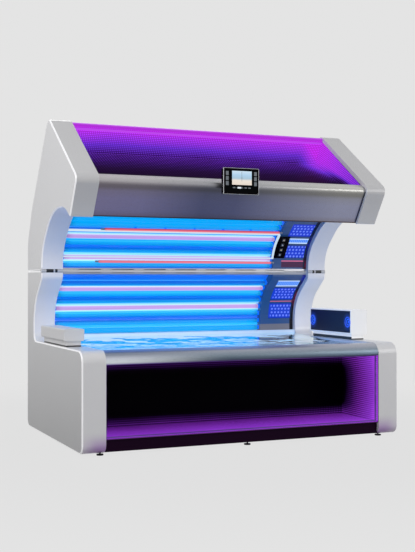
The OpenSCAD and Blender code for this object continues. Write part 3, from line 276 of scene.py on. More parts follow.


# silver of the canopy's fascia and of the bench rail, with painted highlights and reflections banded from
# the lower edge to the upper
silverLook = dict(
    brush=(0.015, 1, 1), strokes=1400, rough=(0.25, 0.41), metallic=0.85,
    stroke=0.08, strokeTone=(0.2, 0.2, 0.22, 1), cloud=0.07, cloudTone=(0.3, 0.3, 0.33, 1),
    driftShare=(0.7, 0.85, 1, 0.45), toRight=(-1, -0.1),
)
silvers = {
    "silver_fascia": dict(
        node="canopy_fascia",
        # painted highlights and reflections, banded from the lower edge to the upper
        bands=stops(
            (0, 60, 40, 44), (0.022, 76, 58, 66), (0.03, 140, 138, 166), (0.15, 152, 156, 196),
            (0.42, 154, 158, 198), (0.6, 152, 154, 182), (0.68, 134, 134, 142), (0.74, 140, 140, 146),
            (0.82, 182, 182, 184), (0.9, 216, 216, 216), (1, 206, 206, 207)),
        # painted reflections along the fascia, mauve at the left, dark blue in the middle and pale at the
        # right, and painted shade in the gap at its right end
        reflectionDrift=[
            (0, (0.66, 0.56, 0.6, 1)), (0.16, (0.6, 0.53, 0.58, 1)), (0.38, (0.25, 0.26, 0.33, 1)),
            (0.5, (0.28, 0.29, 0.36, 1)), (0.72, (0.66, 0.66, 0.62, 1)), (0.9, (0.97, 0.95, 0.8, 1)),
            (0.988, (0.97, 0.95, 0.8, 1)), (0.991, (0.1, 0.11, 0.16, 1))],
    ),
    "silver": dict(
        node="bench_front_rail",
        # painted highlights and reflections at the left end of the rail
        bands=stops(
            (0, 178, 182, 204), (0.2, 216, 222, 226), (0.45, 198, 202, 214), (0.7, 142, 150, 166),
            (1, 152, 166, 192)),
        # painted highlights and reflections over the rest of the rail
        rightReflectionBands=stops(
            (0, 56, 58, 88), (0.2, 68, 84, 100), (0.4, 104, 120, 132), (0.6, 144, 156, 170),
            (0.8, 178, 182, 194), (1, 190, 192, 204)),
    ),
}


def makeSilver(name):
    look = {**silverLook, **silvers[name]}
    newMaterial(name)
    strokes = noise(look["strokes"], 4, look["brush"])
    x, y, height = axesOf(restPoint())
    low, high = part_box(look["node"])
    share = mapped(height, low.z, high.z)
    tone = colourRamp(share, look["bands"])
    if "rightReflectionBands" in look:
        tone = blended(eased(x, *look["toRight"]), tone, colourRamp(share, look["rightReflectionBands"]))
    # painted reflections that change along the fascia
    if "reflectionDrift" in look:
        reflectionDrift = colourRamp(mapped(x, -1, 1), look["reflectionDrift"])
        tone = blended(eased(share, *look["driftShare"]), tone, reflectionDrift, "MULTIPLY")
    tone = blended(times(strokes, look["stroke"]), tone, look["strokeTone"])
    tone = blended(times(noise(3, 1), look["cloud"]), tone, look["cloudTone"])
    rough = mapped(strokes, 0.3, 0.7, *look["rough"])
    paint(tone, rough, metallic=look["metallic"], normal=bumped(strokes, 0.0002, 0.06))


# clear acrylic: see-through, with a sheen that grows from square on to grazing views
acrylicLook = dict(rough=0.035, ripple=0.0004, waves=5.5, least=0.008, most=0.5, sheen=(1, 1, 1, 1),
    tint=(0.96, 0.985, 1, 1), edge=(0.72, 0.86, 1, 1), edgeFacing=0.6, paintedEdgeLight=0)
acrylics = {
    "clear": acrylicLook,
    "pane_clear": dict(acrylicLook, paintedEdgeLight=0.9),
    "bench_clear": dict(acrylicLook, rough=0.05, ripple=0.036, waves=3.2, least=0.03, most=1.7,
        sheen=(0.9, 0.98, 1, 1)),
}


def makeAcrylic(name):
    look = acrylics[name]
    newMaterial(name)
    bump = bumped(noise(look["waves"], 2), look["ripple"], 0.6)
    facing = addNode("LayerWeight", {"Blend": 0.5, "Normal": bump})["Facing"]
    sheen = maths("ADD", look["least"], times(maths("POWER", facing, 5), look["most"]), clamp=True)
    softness = mapped(noise(300, 2), 0.3, 0.8, look["rough"] * 0.7, look["rough"] * 1.6)
    clear = addNode("BsdfTransparent", {"Color": look["tint"]})[0]
    gloss = addNode("BsdfGlossy", {"Color": look["sheen"], "Roughness": softness, "Normal": bump})[0]
    shader = mixShader(sheen, clear, gloss)
    # painted lamp light on the edges of the pane, which glow though they are no lamp
    if look["paintedEdgeLight"]:
        onEdge = maths("LESS_THAN", sizeOf(towardsTunnel()), look["edgeFacing"])
        glow = addNode("Emission", {"Color": look["edge"], "Strength": look["paintedEdgeLight"]})[0]
        shader = mixShader(onEdge, shader, glow)
    output(shader)


# panels with the square dot grid, with painted light from the edge of their recess
gridLook = dict(
    pitch=0.014, dotShare=0.5, dotGlow=(0.018, 0.008, 0.026, 1), sheet=(0.001, 0.0006, 0.0015, 1),
    between=(0.38, 0.78), onDot=(2.9, 1.6),  # brightness in the dark part and in the bright part
    slopeCell=(1.45, 2.1),  # cells of the sloping panel are wider and longer
    cloud=0.08, wallFacing=0.7,
    roof=stops(
        (0, 192, 44, 234), (0.12, 160, 50, 228), (0.3, 100, 44, 200), (0.48, 60, 21, 112),
        (0.6, 40, 14, 78), (0.78, 26, 10, 42), (1, 17, 7, 22)),
    base=stops(
        (0, 158, 62, 222), (0.14, 128, 48, 188), (0.46, 88, 24, 128), (0.72, 36, 4, 62), (0.9, 3, 0, 5),
        (0.98, 0, 0, 0)),
)


def turnedAxes(vector, slope):
    turned = addNode("VectorRotate", {"Vector": vector, "Angle": -slope}, rotation_type="X_AXIS")
    return axesOf(turned[0])


def makeGrid(name, slope, ramp, level, sheetCell=(1, 1), corner=(0, 0)):
    # level gives how far the painted light has fallen off, 0 bright and 1 dark
    look = gridLook
    newMaterial(name)
    x, along, out = turnedAxes(restPoint(), slope)
    facing = turnedAxes(restNormal(), slope)
    onEnd, onBack = (maths("GREATER_THAN", sizeOf(facing[k]), look["wallFacing"]) for k in (0, 1))
    onSheet = minus(1, maths("MAXIMUM", onEnd, onBack))
    outward = minus(out, corner[1])
    across = between(onEnd, x, outward)
    up = between(onBack, minus(along, corner[0] - look["pitch"] * sheetCell[1] / 2), outward)
    masks = []
    for place, factor in ((across, sheetCell[0]), (up, sheetCell[1])):
        pitch = times(mapped(onSheet, 0, 1, 1, factor), look["pitch"])
        masks.append(maths("LESS_THAN", maths("FRACT", maths("DIVIDE", place, pitch)), look["dotShare"]))
    dots = times(*masks)
    cloud = times(minus(noise(3.1, 1), 0.5), look["cloud"])
    glow = colourRamp(plus(level(x, along, out, onEnd, onBack), cloud), ramp)
    blue = axesOf(glow)[2]
    # dots stand out more where the panel is dark, and keep a little painted light of their own there
    bright = eased(blue, 0.02, 0.6)
    strength = between(dots, eased(bright, 0, 1, *look["between"]), eased(bright, 0, 1, *look["onDot"]))
    lit = blended(times(dots, eased(blue, 0, 0.05)), scaled(glow, strength), look["dotGlow"], "ADD")
    paint(look["sheet"], 0.3, specular=0.01, glow=lit, strength=1)


# how the painted violet light falls off in the recess of the base
baseLight = dict(
    perDepth=0.58, across=(-1, 1, 0.06, -0.05), ceiling=(0.5, 0.56, 0, 0.45),
    middle=0.34, offMiddle=(0, 0.26, 0.02, -0.1),
    breathHigh=(0.43, 0.56, 0, 0.32), breathLow=(0.09, 0.2, 0.4, 0),
)


def baseFall(x, along, out, onEnd, onBack):
    look = baseLight
    mouth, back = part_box("front_recess_liner")
    depth = mapped(along, mouth.y, back.y)
    # painted shade grows deeper into the recess, towards the left and under the ceiling
    ceiling = times(eased(out, *look["ceiling"]), minus(1, onEnd))
    onFloor = plus(times(depth, look["perDepth"]), mapped(x, *look["across"]), ceiling)
    # painted light: the back is lit above the floor and keeps a breath of light under the ceiling
    breath = plus(eased(out, *look["breathHigh"]), eased(out, *look["breathLow"]))
    onWall = plus(depth, eased(sizeOf(minus(out, look["middle"])), *look["offMiddle"]))
    onWall = minus(onWall, times(breath, maths("POWER", depth, 3)))
    return between(onBack, between(onEnd, onFloor, onWall), minus(1, breath))


# and the painted light in the recess of the canopy's roof, from the light strip under its upper edge
backLow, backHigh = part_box("canopy_recess_back")
stripLow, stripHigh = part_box("canopy_led_strip")
roofSlope = atan2(backHigh.z - backLow.z, backHigh.y - backLow.y)
roofCorner = (
    backHigh.y * cos(roofSlope) + backHigh.z * sin(roofSlope),
    backHigh.z * cos(roofSlope) - backHigh.y * sin(roofSlope))
roofLight = dict(
    strip=(0, stripLow.y, stripHigh.z), reach=0.41, nearEnd=(0.8, 1.02, 0, 0.13),
    mouth=(0, 0.07), mouthReach=2.5, wallMost=0.8,
)


def roofFall(x, along, out, onEnd, onBack):
    reach = vectorMath("DISTANCE", flatPoint(), roofLight["strip"])["Value"]
    faded = maths("DIVIDE", minus(reach, eased(x, *roofLight["nearEnd"])), roofLight["reach"])
    # painted light: the end walls run from the dark of the back to the bright mouth
    toMouth = eased(minus(out, roofCorner[1]), *roofLight["mouth"])
    inner = maths("MINIMUM", faded, roofLight["wallMost"])
    onWall = between(toMouth, inner, maths("DIVIDE", reach, roofLight["mouthReach"]))
    return between(onEnd, faded, onWall)


# light of the lamps, and the painted lamp light on the reflectors, by the distance from the axis of the
# nearest lilac lamp
lampLook = dict(
    bands=stops(
        (0.026, 226, 240, 255), (0.036, 60, 196, 252), (0.044, 0, 172, 246), (0.062, 0, 152, 238),
        (0.07, 0, 116, 226), (0.08, 0, 82, 210)),
    lilac=stops(
        (0, 207, 160, 228), (0.52, 212, 170, 232), (0.68, 240, 246, 255), (0.88, 214, 236, 255),
        (1, 90, 190, 250)),
    red=stops((0, 238, 130, 140), (0.5, 228, 92, 104), (1, 170, 50, 66)),
    lilacTurn=0.3,  # the lilac side of a lamp is turned up a little, in radians
    plainRows=((0.65, 0.8), (1.5, 1.56)),  # heights of the lilac lamps that glow blue in the photo
    plainDistance=0.05, streaks=(0.93, 1.05), glassRough=0.16,
    # the reflector sheet, its roughness, and its painted lamp light
    sheet=(0.42, 0.43, 0.45, 1), sheetRough=(0.24, 0.42), sheetStreaks=(0.9, 1.04), sheetPaintedLight=0.92,
)


def litSurface(glow, rough, strength=1, base=(0.02, 0.05, 0.09, 1)):
    paint(base, rough, glow=glow, strength=strength, specular=0.15)


def streaks(low, high):
    return mapped(noise(1, 3, (1.6, 60, 60)), 0.3, 0.7, low, high)


def lampBands():
    bands = lampLook["bands"]
    near, far = bands[0][0], bands[-1][0]
    rows = [((place - near) / (far - near), colour) for place, colour in bands]
    return colourRamp(mapped(attribute("lilacDistance"), near, far), rows)


def makeLampLight(kind):
    newMaterial("lamp_" + kind)
    glow = lampBands() if kind == "blue" else colourRamp(attribute("around"), lampLook[kind])
    litSurface(scaled(glow, times(attribute("lit"), streaks(*lampLook["streaks"]))), lampLook["glassRough"])


def makeReflector():
    # painted lamp light and reflections on the side towards the lamps, bare aluminium on the back
    newMaterial("reflector")
    seen = maths("GREATER_THAN", towardsTunnel(), 0)
    glow = scaled(lampBands(), times(attribute("lit"), seen, streaks(*lampLook["sheetStreaks"])))
    paint(lampLook["sheet"], streaks(*lampLook["sheetRough"]), metallic=0.9, glow=glow, strength=1)


def makeLed(name, colour):
    newMaterial(name)
    litSurface(blended(streaks(0, 0.12), colour, (0.6, 0.3, 0.8, 1)), 0.4)


def makePlain(name, colour, rough=0.4, glow=0, metallic=0, specular=0.5):
    newMaterial(name)
    tone = blended(times(noise(900), 0.12), colour, black)
    paint(tone, rough, metallic=metallic, specular=specular, glow=tone, strength=glow)


def makeTwoTone(name, first, second, split, glow=0, specular=0.5):
    # two colours on one piece, parted where split says: paint, or painted light and shade
    newMaterial(name)
    fine = noise(800)
    tone = blended(times(fine, 0.1), blended(split(), first, second), black)
    paint(tone, 0.4, normal=bumped(fine, 0.0003), specular=specular, glow=tone, strength=glow)


# pale back cover of the canopy, whose folded lip inside the mouth is dark and glows with painted light in
# the colour of the light strip
coverLook = dict(
    pale=(0.66, 0.66, 0.68, 1), paleDark=(0.62, 0.62, 0.64, 1), lip=(0.02, 0.01, 0.03, 1),
    lipGlow=shade(190, 44, 232)[:3], lipStrength=0.82, behindStrip=(0.012, 0.022),
)


def makeCover():
    newMaterial("canopy_cover")
    near, far = (stripHigh.y + gap for gap in coverLook["behindStrip"])
    lip = eased(axesOf(restPoint())[1], near, far, 1, 0)
    tone = blended(noise(2.3, 2), coverLook["pale"], coverLook["paleDark"])
    tone = blended(lip, tone, coverLook["lip"])
    glow = scaled(coverLook["lipGlow"], times(lip, coverLook["lipStrength"]))
    paint(tone, 0.45, normal=bumped(noise(650), 0.0005), glow=glow, strength=1)


# windows of the tanner units, lit from behind
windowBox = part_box("shoulder_tanner_windows")
windowMiddle = (windowBox[0].x + windowBox[1].x) / 2
softStep = 0.002
windowLook = dict(
    pitch=0.03, dotRadius=0.0085, rows=4, columns=6,
    deep=shade(8, 42, 200), dot=shade(104, 128, 248), edge=shade(2, 20, 120),
    edgeWidth=(0, 0.012),
    bar=shade(112, 168, 252), barDark=shade(44, 100, 236), barLine=shade(196, 222, 255),
    barSquare=0.008, squareEdge=(0.003, 0.006), lineWidth=(0.009, 0.012),
    redLine=shade(246, 112, 140), darkRed=shade(70, 4, 34), redShadow=(0.03, 0.005, 0.02, 1),
    blackEnd=0.015, blackTone=(0.002, 0.002, 0.006, 1),
)
blackStart = windowBox[1].x - windowLook["blackEnd"]


def windowDots(across, rise):
    # rows of round dots, the outer rows shifted by half a cell
    pitch = windowLook["pitch"]
    radius = windowLook["dotRadius"] / pitch
    row = maths("FLOOR", maths("DIVIDE", rise, pitch))
    outer = maths("GREATER_THAN", sizeOf(plus(row, 0.5)), 1)
    shifted = plus(across, times(outer, pitch / 2))
    cellX, cellY = (minus(maths("FRACT", maths("DIVIDE", place, pitch)), 0.5) for place in (shifted, rise))
    away = maths("SQRT", plus(times(cellX, cellX), times(cellY, cellY)))
    inRows = maths("LESS_THAN", sizeOf(rise), pitch * windowLook["rows"] / 2)
    inColumns = maths("LESS_THAN", sizeOf(across), pitch * windowLook["columns"] / 2)
    return times(eased(away, radius * 0.8, radius * 1.25, 1, 0), inRows, inColumns)


def makeWindow(kind):
    look = windowLook
    newMaterial("window_" + kind)
    x = axesOf(restPoint())[0]
    rise = attribute("rise")
    rim = minus(attribute("halfHeight"), sizeOf(rise))
    if kind == "dotted":
        ground = blended(eased(rim, *look["edgeWidth"], 1, 0), look["deep"], look["edge"])
        glow = blended(windowDots(minus(x, windowMiddle), rise), ground, look["dot"])
    elif kind == "bar":
        squares = eased(maths("PINGPONG", x, look["barSquare"]), *look["squareEdge"])
        glow = blended(squares, look["bar"], look["barDark"])
        glow = blended(eased(rim, *look["lineWidth"], 1, 0), glow, look["barLine"])
    else:
        glow = blended(streaks(0, 0.3), look[kind], look["redShadow"])
    litSurface(blended(eased(x, blackStart, blackStart + softStep), glow, look["blackTone"]), 0.12)


# housings of the tanner units: slate blue sheet with an even painted glow, and a black strip with a soft
# painted reflection of the windows
tannerLook = dict(
    low=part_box("shoulder_tanner_housing")[0].z, high=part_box("face_tanner_housing")[1].z,
    slate=shade(44, 84, 134), slateDark=shade(30, 60, 104), glow=0.35,
    foot=0.048, footTone=shade(112, 112, 122), ripple=0.05,
    paintedReflection=stops(
        (0, 4, 4, 8), (0.2, 10, 6, 20), (0.3, 120, 12, 52), (0.36, 16, 6, 30), (0.46, 26, 40, 150),
        (0.52, 10, 8, 20), (0.555, 120, 10, 48), (0.6, 20, 6, 30), (0.72, 24, 34, 140), (0.8, 12, 16, 60),
        (1, 4, 4, 8)),
)


def makeTanner():
    look = tannerLook
    newMaterial("tanner")
    x, y, height = axesOf(restPoint())
    strip = eased(x, blackStart - softStep, blackStart)
    tone = blended(noise(2.6, 2), look["slate"], look["slateDark"])
    paintedReflection = plus(mapped(height, look["low"], look["high"]), times(noise(14, 2), look["ripple"]))
    tone = blended(strip, tone, colourRamp(paintedReflection, look["paintedReflection"]))
    footTop = look["low"] + look["foot"]
    foot = eased(height, footTop, footTop + softStep, 1, 0)
    tone = blended(times(foot, minus(1, strip)), tone, look["footTone"])
    paint(tone, 0.33, normal=bumped(noise(700), 0.0004), glow=tone, strength=look["glow"])


for name in finishes:
    makeFinish(name)
for name in silvers:
    makeSilver(name)
for name in acrylics:
    makeAcrylic(name)
makeGrid("base_grid", 0, gridLook["base"], baseFall)
makeGrid("roof_grid", roofSlope, gridLook["roof"], roofFall, gridLook["slopeCell"], roofCorner)
makeLed("roof_led", shade(186, 46, 232))
makeLed("base_led", shade(66, 16, 100))
for kind in ("blue", "lilac", "red"):
    makeLampLight(kind)
for kind in ("dotted", "bar", "redLine", "darkRed"):
    makeWindow(kind)
makeReflector()
makeTanner()
makeCover()


# two-tone pieces: hinge marks, painted shadow at the feet of the side boxes, painted violet light on the
# lip of the toe kick, painted lamp light on the rail behind the bench
# the last two are heights of the painted shadow at the feet of the side boxes
toneLook = dict(hingeRadius=0.014, barrelEdge=(-0.002, 0.001), ring=0.006, foot=0.01, innerShadow=0.022)


def atBarrel():
    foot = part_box("base_hinge_brackets")[1].z - 2 * toneLook["hingeRadius"]
    return eased(axesOf(restPoint())[2], *(foot + step for step in toneLook["barrelEdge"]))


def atRing():
    # pale ring around the middle of each black knuckle
    knuckle = (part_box("canopy_hinge_arms")[1].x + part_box("base_side_plates")[1].x) / 2
    far = sizeOf(minus(sizeOf(axesOf(restPoint())[0]), knuckle))
    return maths("GREATER_THAN", far, toneLook["ring"])


def above(name, lift, soft=softStep, end=0):
    # 1 above a height measured from a node's foot (end 0) or top (end 1)
    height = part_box(name)[end].z + lift
    return lambda: eased(axesOf(restPoint())[2], height - soft, height)


def aboveShadow():
    # painted shadow at the foot of the right box, which shows more on its inner side
    outer = minus(1, maths("LESS_THAN", axesOf(restNormal())[0], -0.5))
    aboveInner = above("right_speaker_box", toneLook["innerShadow"])()
    return times(above("right_speaker_box", toneLook["foot"])(), maths("MAXIMUM", outer, aboveInner))


dark, pale = (0.012, 0.012, 0.014, 1), (0.7, 0.7, 0.71, 1)
shadow, shell = (0.01, 0.01, 0.012, 1), finishes["shell"]["colour"] + (1,)
twoTones = {
    "hinge_ears": dict(first=dark, second=pale, split=atBarrel),
    "hinge_knuckle": dict(first=pale, second=dark, split=atRing),
    # painted shadow line along the foot of the left box
    "ledge": dict(first=shadow, second=shell, split=above("left_ledge_box", toneLook["foot"])),
    # painted shadow at the foot of the right box, and an even painted glow of the box
    "speaker_box": dict(first=shadow, second=shell, split=aboveShadow, glow=0.34),
    # painted violet light on the top lip of the toe kick, and a faint painted glow
    "plinth": dict(first=shade(24, 4, 26), second=shade(120, 76, 140), glow=0.15, specular=0.04,
        split=above("toe_kick_plinth", -0.004, 0.001, 1)),
    # painted lamp light low on the rail, and a faint painted glow over all of it
    "rear_rails": dict(first=shade(206, 226, 244), second=shade(160, 162, 168), glow=0.3,
        split=above("rear_wall_rails", 0.12)),
}
for name, look in twoTones.items():
    makeTwoTone(name, **look)
# painted lamp light on the metal ends of the lamps and on the lamp holders, which glow though they are no
# lamps
makePlain("lit_cap", shade(40, 120, 210), 0.3, 0.3, 0.5)
makePlain("lit_holder", shade(2, 104, 222), 0.5, 0.85, 0, 0.1)
print("finishes made:", len(materials))


# dress the CAD nodes: soften their edges with modifiers and give each its finish
softEdges = {
    0.0025: ("left_ledge_box", "right_speaker_box"),
    0.002: ("display_housing",),
    0.0015: ("keypad_panel", "ballast_units"),
    0.0012: (
        "left_base_end_shell", "right_base_end_shell", "left_canopy_end_shell", "right_canopy_end_shell",
        "start_button", "fan_button", "face_button", "sound_button", "levelling_feet",
        "canopy_lamp_holders", "base_lamp_holders"),
    0.001: ("lift_actuators",),
    0.0008: (
        "toe_kick_plinth", "base_hinge_brackets", "canopy_hinge_arms", "lift_rods", "rear_wall_rails",
        "cable_gland"),
    0.0006: ("canopy_seam_rail",),
    0.0004: ("bench_front_rail", "canopy_fascia"),
}
specialFinish = {
    "front_recess_liner": "base_grid", "front_recess_back": "base_grid", "front_led_strips": "base_led",
    "canopy_recess_liner": "roof_grid", "canopy_recess_back": "roof_grid", "canopy_led_strip": "roof_led",
    "canopy_fascia": "silver_fascia", "canopy_back_cover": "canopy_cover", "bench_acrylic": "bench_clear",
    "canopy_centre_pane": "pane_clear", "canopy_lamp_holders": "lit_holder",
    "base_lamp_holders": "lit_holder", "base_hinge_brackets": "hinge_ears",
    "canopy_hinge_arms": "hinge_knuckle", "left_ledge_box": "ledge", "right_speaker_box": "speaker_box",
    "toe_kick_plinth": "plinth", "rear_wall_rails": "rear_rails",
}
weldDistance = 0.00001


def softenEdges(item, width):
    bevel = item.modifiers.new("soft edges", "BEVEL")
    bevel.width = width
    bevel.segments = 2
    bevel.limit_method = "ANGLE"
    bevel.angle_limit = radians(30)


def paintNode(name, finish):
    for place in nodes[name].material_slots:
        place.material = materials[finish]


for name, node in nodes.items():
    finish = specialFinish.get(name, slotOf[name])
    if finish in materials:
        paintNode(name, finish)
    node.modifiers.new("weld", "WELD").merge_threshold = weldDistance
for width, names in softEdges.items():
    for name in names:
        softenEdges(nodes[name], width)
        nodes[name].modifiers.new("even normals", "WEIGHTED_NORMAL").weight = 60
print("nodes dressed")


# a shape gathers a mesh: vertices, faces, each face's material place, and values on the vertices
def newShape():
    return dict(verts=[], faces=[], places=[], values={})


def addTo(shape, verts, faces, places=0, **values):
    # places is one material place for all the faces, or a list with one for each
    first = len(shape["verts"])
    shape["verts"] += [tuple(v) for v in verts]
    shape["faces"] += [tuple(first + i for i in face) for face in faces]
    shape["places"] += places if isinstance(places, list) else [places] * len(faces)
    for key, row in values.items():
        shape["values"].setdefault(key, [0] * first)
        shape["values"][key] += list(row)
    for key, row in shape["values"].items():
        row += [0] * (len(shape["verts"]) - len(row))


def placed(name, data):
    item = bpy.data.objects.new(name, data)
    scene.collection.objects.link(item)
    return item


def makePiece(name, shape, finishNames, body, replaced=(), smooth=True, soften=0):
    mesh = bpy.data.meshes.new(name)
    mesh.from_pydata(shape["verts"], [], shape["faces"])
    for finish in finishNames:
        mesh.materials.append(materials[finish])
    mesh.polygons.foreach_set("material_index", shape["places"])
    mesh.polygons.foreach_set("use_smooth", [smooth] * len(shape["faces"]))
    for key, row in shape["values"].items():
        mesh.attributes.new(key, "FLOAT", "POINT").data.foreach_set("value", row)
    piece = placed(name, mesh)
    if soften:
        softenEdges(piece, soften)
    mesh.update()
    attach(piece, body)
    if replaced:
        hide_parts(*replaced)


boxFaces = [(0, 1, 3, 2), (4, 6, 7, 5), (0, 4, 5, 1), (2, 3, 7, 6), (0, 2, 6, 4), (1, 5, 7, 3)]


def addBlock(shape, low, high, place=0):
    corners = [(x, y, z) for x in (low[0], high[0]) for y in (low[1], high[1]) for z in (low[2], high[2])]
    addTo(shape, corners, boxFaces, place)


def ringFaces(rings, sides):
    # the faces between rings of points about the X axis
    faces = []
    for k in range(rings - 1):
        for i in range(sides):
            j = (i + 1) % sides
            faces.append((k * sides + i, k * sides + j, (k + 1) * sides + j, (k + 1) * sides + i))
    return faces


def circlePoints(y, z, radius, sides):
    turns = [tau * i / sides for i in range(sides)]
    return [(y + radius * cos(turn), z + radius * sin(turn)) for turn in turns]


def weldedMesh(name):
    mesh = bmesh.new()
    mesh.from_mesh(nodes[name].data)
    bmesh.ops.remove_doubles(mesh, verts=mesh.verts, dist=weldDistance)
    return mesh


def solidsOf(name):
    # each separate solid of a node as a list of its corner points
    mesh = weldedMesh(name)
    seen, groups = set(), []
    for start in mesh.verts:
        group = [] if start in seen else [start]
        seen.update(group)
        for vert in group:  # the group grows while it is walked through
            for other in (edge.other_vert(vert) for edge in vert.link_edges):
                if other not in seen:
                    seen.add(other)
                    group.append(other)
        if group:
            groups.append([vert.co.copy() for vert in group])
    mesh.free()
    return groups


def boxOf(points):
    return Vector(map(min, *points)), Vector(map(max, *points))


def middleOf(points):
    return sum(boxOf(points), Vector()) / 2


def tubesOf(name):
    # place and size of each lamp by its outer skin, without the skin inside its hollow glass
    boxes = []
    for low, high in sorted((boxOf(points) for points in solidsOf(name)), key=lambda box: box[0].x):
        if not any(a.z < low.z and b.z > high.z and a.y < low.y and b.y > high.y for a, b in boxes):
            boxes.append((low, high))
    return [dict(y=(low.y + high.y) / 2, z=(low.z + high.z) / 2, x0=low.x, x1=high.x,
        radius=(high.z - low.z) / 2) for low, high in boxes]


def away(lamp, y, z):
    return hypot(y - lamp["y"], z - lamp["z"])


def glowsPlain(lamp):
    return any(low < lamp["z"] < high for low, high in lampLook["plainRows"])


def lilacReach(lilacs, y, z):
    # distance from the nearest lilac lamp; a plain one throws no bright band on what lies next to it
    least = lampLook["plainDistance"]
    reaches = [max(away(lamp, y, z), least if glowsPlain(lamp) else 0) for lamp in lilacs]
    return min(reaches, default=least)


# tanning lamps: glass tube with crimped aluminium caps, whose sleeves glow with a painted share of the
# lamp's light
lampParts = dict(sides=20, cap=0.022, capIn=0.0012, crimp=0.0009, groove=(0.55, 0.63, 0.71), capPaintedGlow=0.75,
    chamfer=(0.0015, 0.004), neckIn=0.0025, neckLit=0.8, shoulder=0.004, shoulderLit=0.9, fade=0.035)
redParts = dict(lampParts, sides=16, cap=0.026, capIn=0.002, crimp=0.001, capPaintedGlow=0, shoulder=0.003,
    fade=0.03, grown=0.002)
oppositeGap = 0.08  # neighbours farther apart than this lie on both sides of a lamp


def addLamp(shape, lamp, facing, lilacs, parts=lampParts, glass=0):
    # facing is the angle in the Y Z plane from which the lamp is seen, glass its tube's material place
    r, cap, sides, dim = lamp["radius"], parts["cap"], parts["sides"], parts["capPaintedGlow"]
    sleeve = r - parts["capIn"]
    before, middle, after = (cap * share for share in parts["groove"])
    # each ring has its distance from the end, its radius, whether it is on the cap, and its light, which on
    # the cap is painted lamp light
    half = [
        (0, 0, 1, 0), (0, r - parts["chamfer"][1], 1, 0), (parts["chamfer"][0], sleeve, 1, dim),
        (before, sleeve, 1, dim), (middle, sleeve - parts["crimp"], 1, dim), (after, sleeve, 1, dim),
        (cap, sleeve, 1, dim), (cap, r - parts["neckIn"], 0, parts["neckLit"]),
        (cap + parts["shoulder"], r, 0, parts["shoulderLit"]), (cap + parts["fade"], r, 0, 1)]
    rings = [(lamp["x0"] + x, *rest) for x, *rest in half]
    rings += [(lamp["x1"] - x, *rest) for x, *rest in reversed(half)]
    verts, places, around, lits, distances = [], [], [], [], []
    for x, radius, onCap, lit in rings:
        for i in range(sides):
            turn = tau * i / sides
            y, z = lamp["y"] + radius * cos(turn), lamp["z"] + radius * sin(turn)
            verts.append((x, y, z))
            off = abs((turn - facing + pi) % (2 * pi) - pi)
            around.append(min(1, off / (pi / 2)))
            lits.append(lit)
            distances.append(lilacReach(lilacs, y, z))
    for here, there in zip(rings, rings[1:]):
        bare = here[2] and there[2] and not (here[3] and there[3])
        places += [1 if bare else glass] * sides
    faces = ringFaces(len(rings), sides)
    addTo(shape, verts, faces, places, around=around, lit=lits, lilacDistance=distances)


def facingOf(lamp, lamps):
    # square to the line through the neighbours, on the side of the tunnel
    near = sorted(lamps, key=lambda other: away(other, lamp["y"], lamp["z"]))[1:3]
    if len(near) == 2 and away(near[0], near[1]["y"], near[1]["z"]) > oppositeGap:
        run = atan2(near[1]["z"] - near[0]["z"], near[1]["y"] - near[0]["y"])
    else:
        run = atan2(near[0]["z"] - lamp["z"], near[0]["y"] - lamp["y"])
    toTunnel = atan2(tunnelMiddle[1] - lamp["z"], tunnelMiddle[0] - lamp["y"])
    square = run + pi / 2
    return square if cos(square - toTunnel) > 0 else square + pi


walls = {
    "canopy": dict(blue="canopy_uv_lamps", lilac="canopy_lilac_lamps", sheet="canopy_reflector"),
    "base": dict(blue="rear_wall_uv_lamps", lilac="rear_wall_lilac_lamps", sheet="base_reflectors"),
}
for body, wall in walls.items():
    rows = {kind: tubesOf(wall[kind]) for kind in ("blue", "lilac")}
    wall["lamps"] = rows["blue"] + rows["lilac"]
    wall["lilacs"] = rows["lilac"]
    for kind, lamps in rows.items():
        turn = lampLook["lilacTurn"] if kind == "lilac" else 0
        shape = newShape()
        for lamp in lamps:
            glass = 2 if kind == "lilac" and glowsPlain(lamp) else 0
            addLamp(shape, lamp, facingOf(lamp, wall["lamps"]) - turn, wall["lilacs"], glass=glass)
        glow = "lamp_" + kind
        makePiece(f"{body}_{kind}_tubes", shape, [glow, "lit_cap", "lamp_blue"], body, [wall[kind]])

shape = newShape()
for lamp in tubesOf("bench_lamps"):
    addLamp(shape, lamp, pi / 2, [])
makePiece("bench_tubes", shape, ["lamp_blue", "lit_cap"], "base", ["bench_lamps"])

shape = newShape()
for lamp in tubesOf("canopy_red_lamps"):
    lamp["radius"] += redParts["grown"]
    addLamp(shape, lamp, facingOf(lamp, walls["canopy"]["lamps"]), [], redParts)
makePiece("red_tubes", shape, ["lamp_red", "unit"], "canopy", ["canopy_red_lamps"])


def rounded(point):
    return tuple(round(c, 5) for c in point)


# copies of CAD nodes with values on their vertices, for finishes that follow the lamp wall: the painted
# lamp light on the reflectors, and the windows
def copyWithValues(name, pieceName, finish, body, slot, points=None, **rules):
    mesh = weldedMesh(name)
    if points is not None:
        kept = {rounded(point) for point in points}
        gone = [v for v in mesh.verts if rounded(v.co) not in kept]
        bmesh.ops.delete(mesh, geom=gone, context="VERTS")
    bmesh.ops.dissolve_limit(mesh, angle_limit=0.001, verts=mesh.verts, edges=mesh.edges)
    mesh.verts.ensure_lookup_table()
    shape = newShape()
    verts = [v.co.copy() for v in mesh.verts]
    values = {key: [rule(v) for v in verts] for key, rule in rules.items()}
    addTo(shape, verts, [[v.index for v in face.verts] for face in mesh.faces], 0, **values)
    mesh.free()
    makePiece(pieceName, shape, [finish], body, [name], smooth=False)


for body, wall in walls.items():
    copyWithValues(
        wall["sheet"], wall["sheet"] + "_sheet", "reflector", body, "reflector",
        lilacDistance=lambda v: lilacReach(wall["lilacs"], v.y, v.z), lit=lambda v: lampLook["sheetPaintedLight"])
print("lamps made")


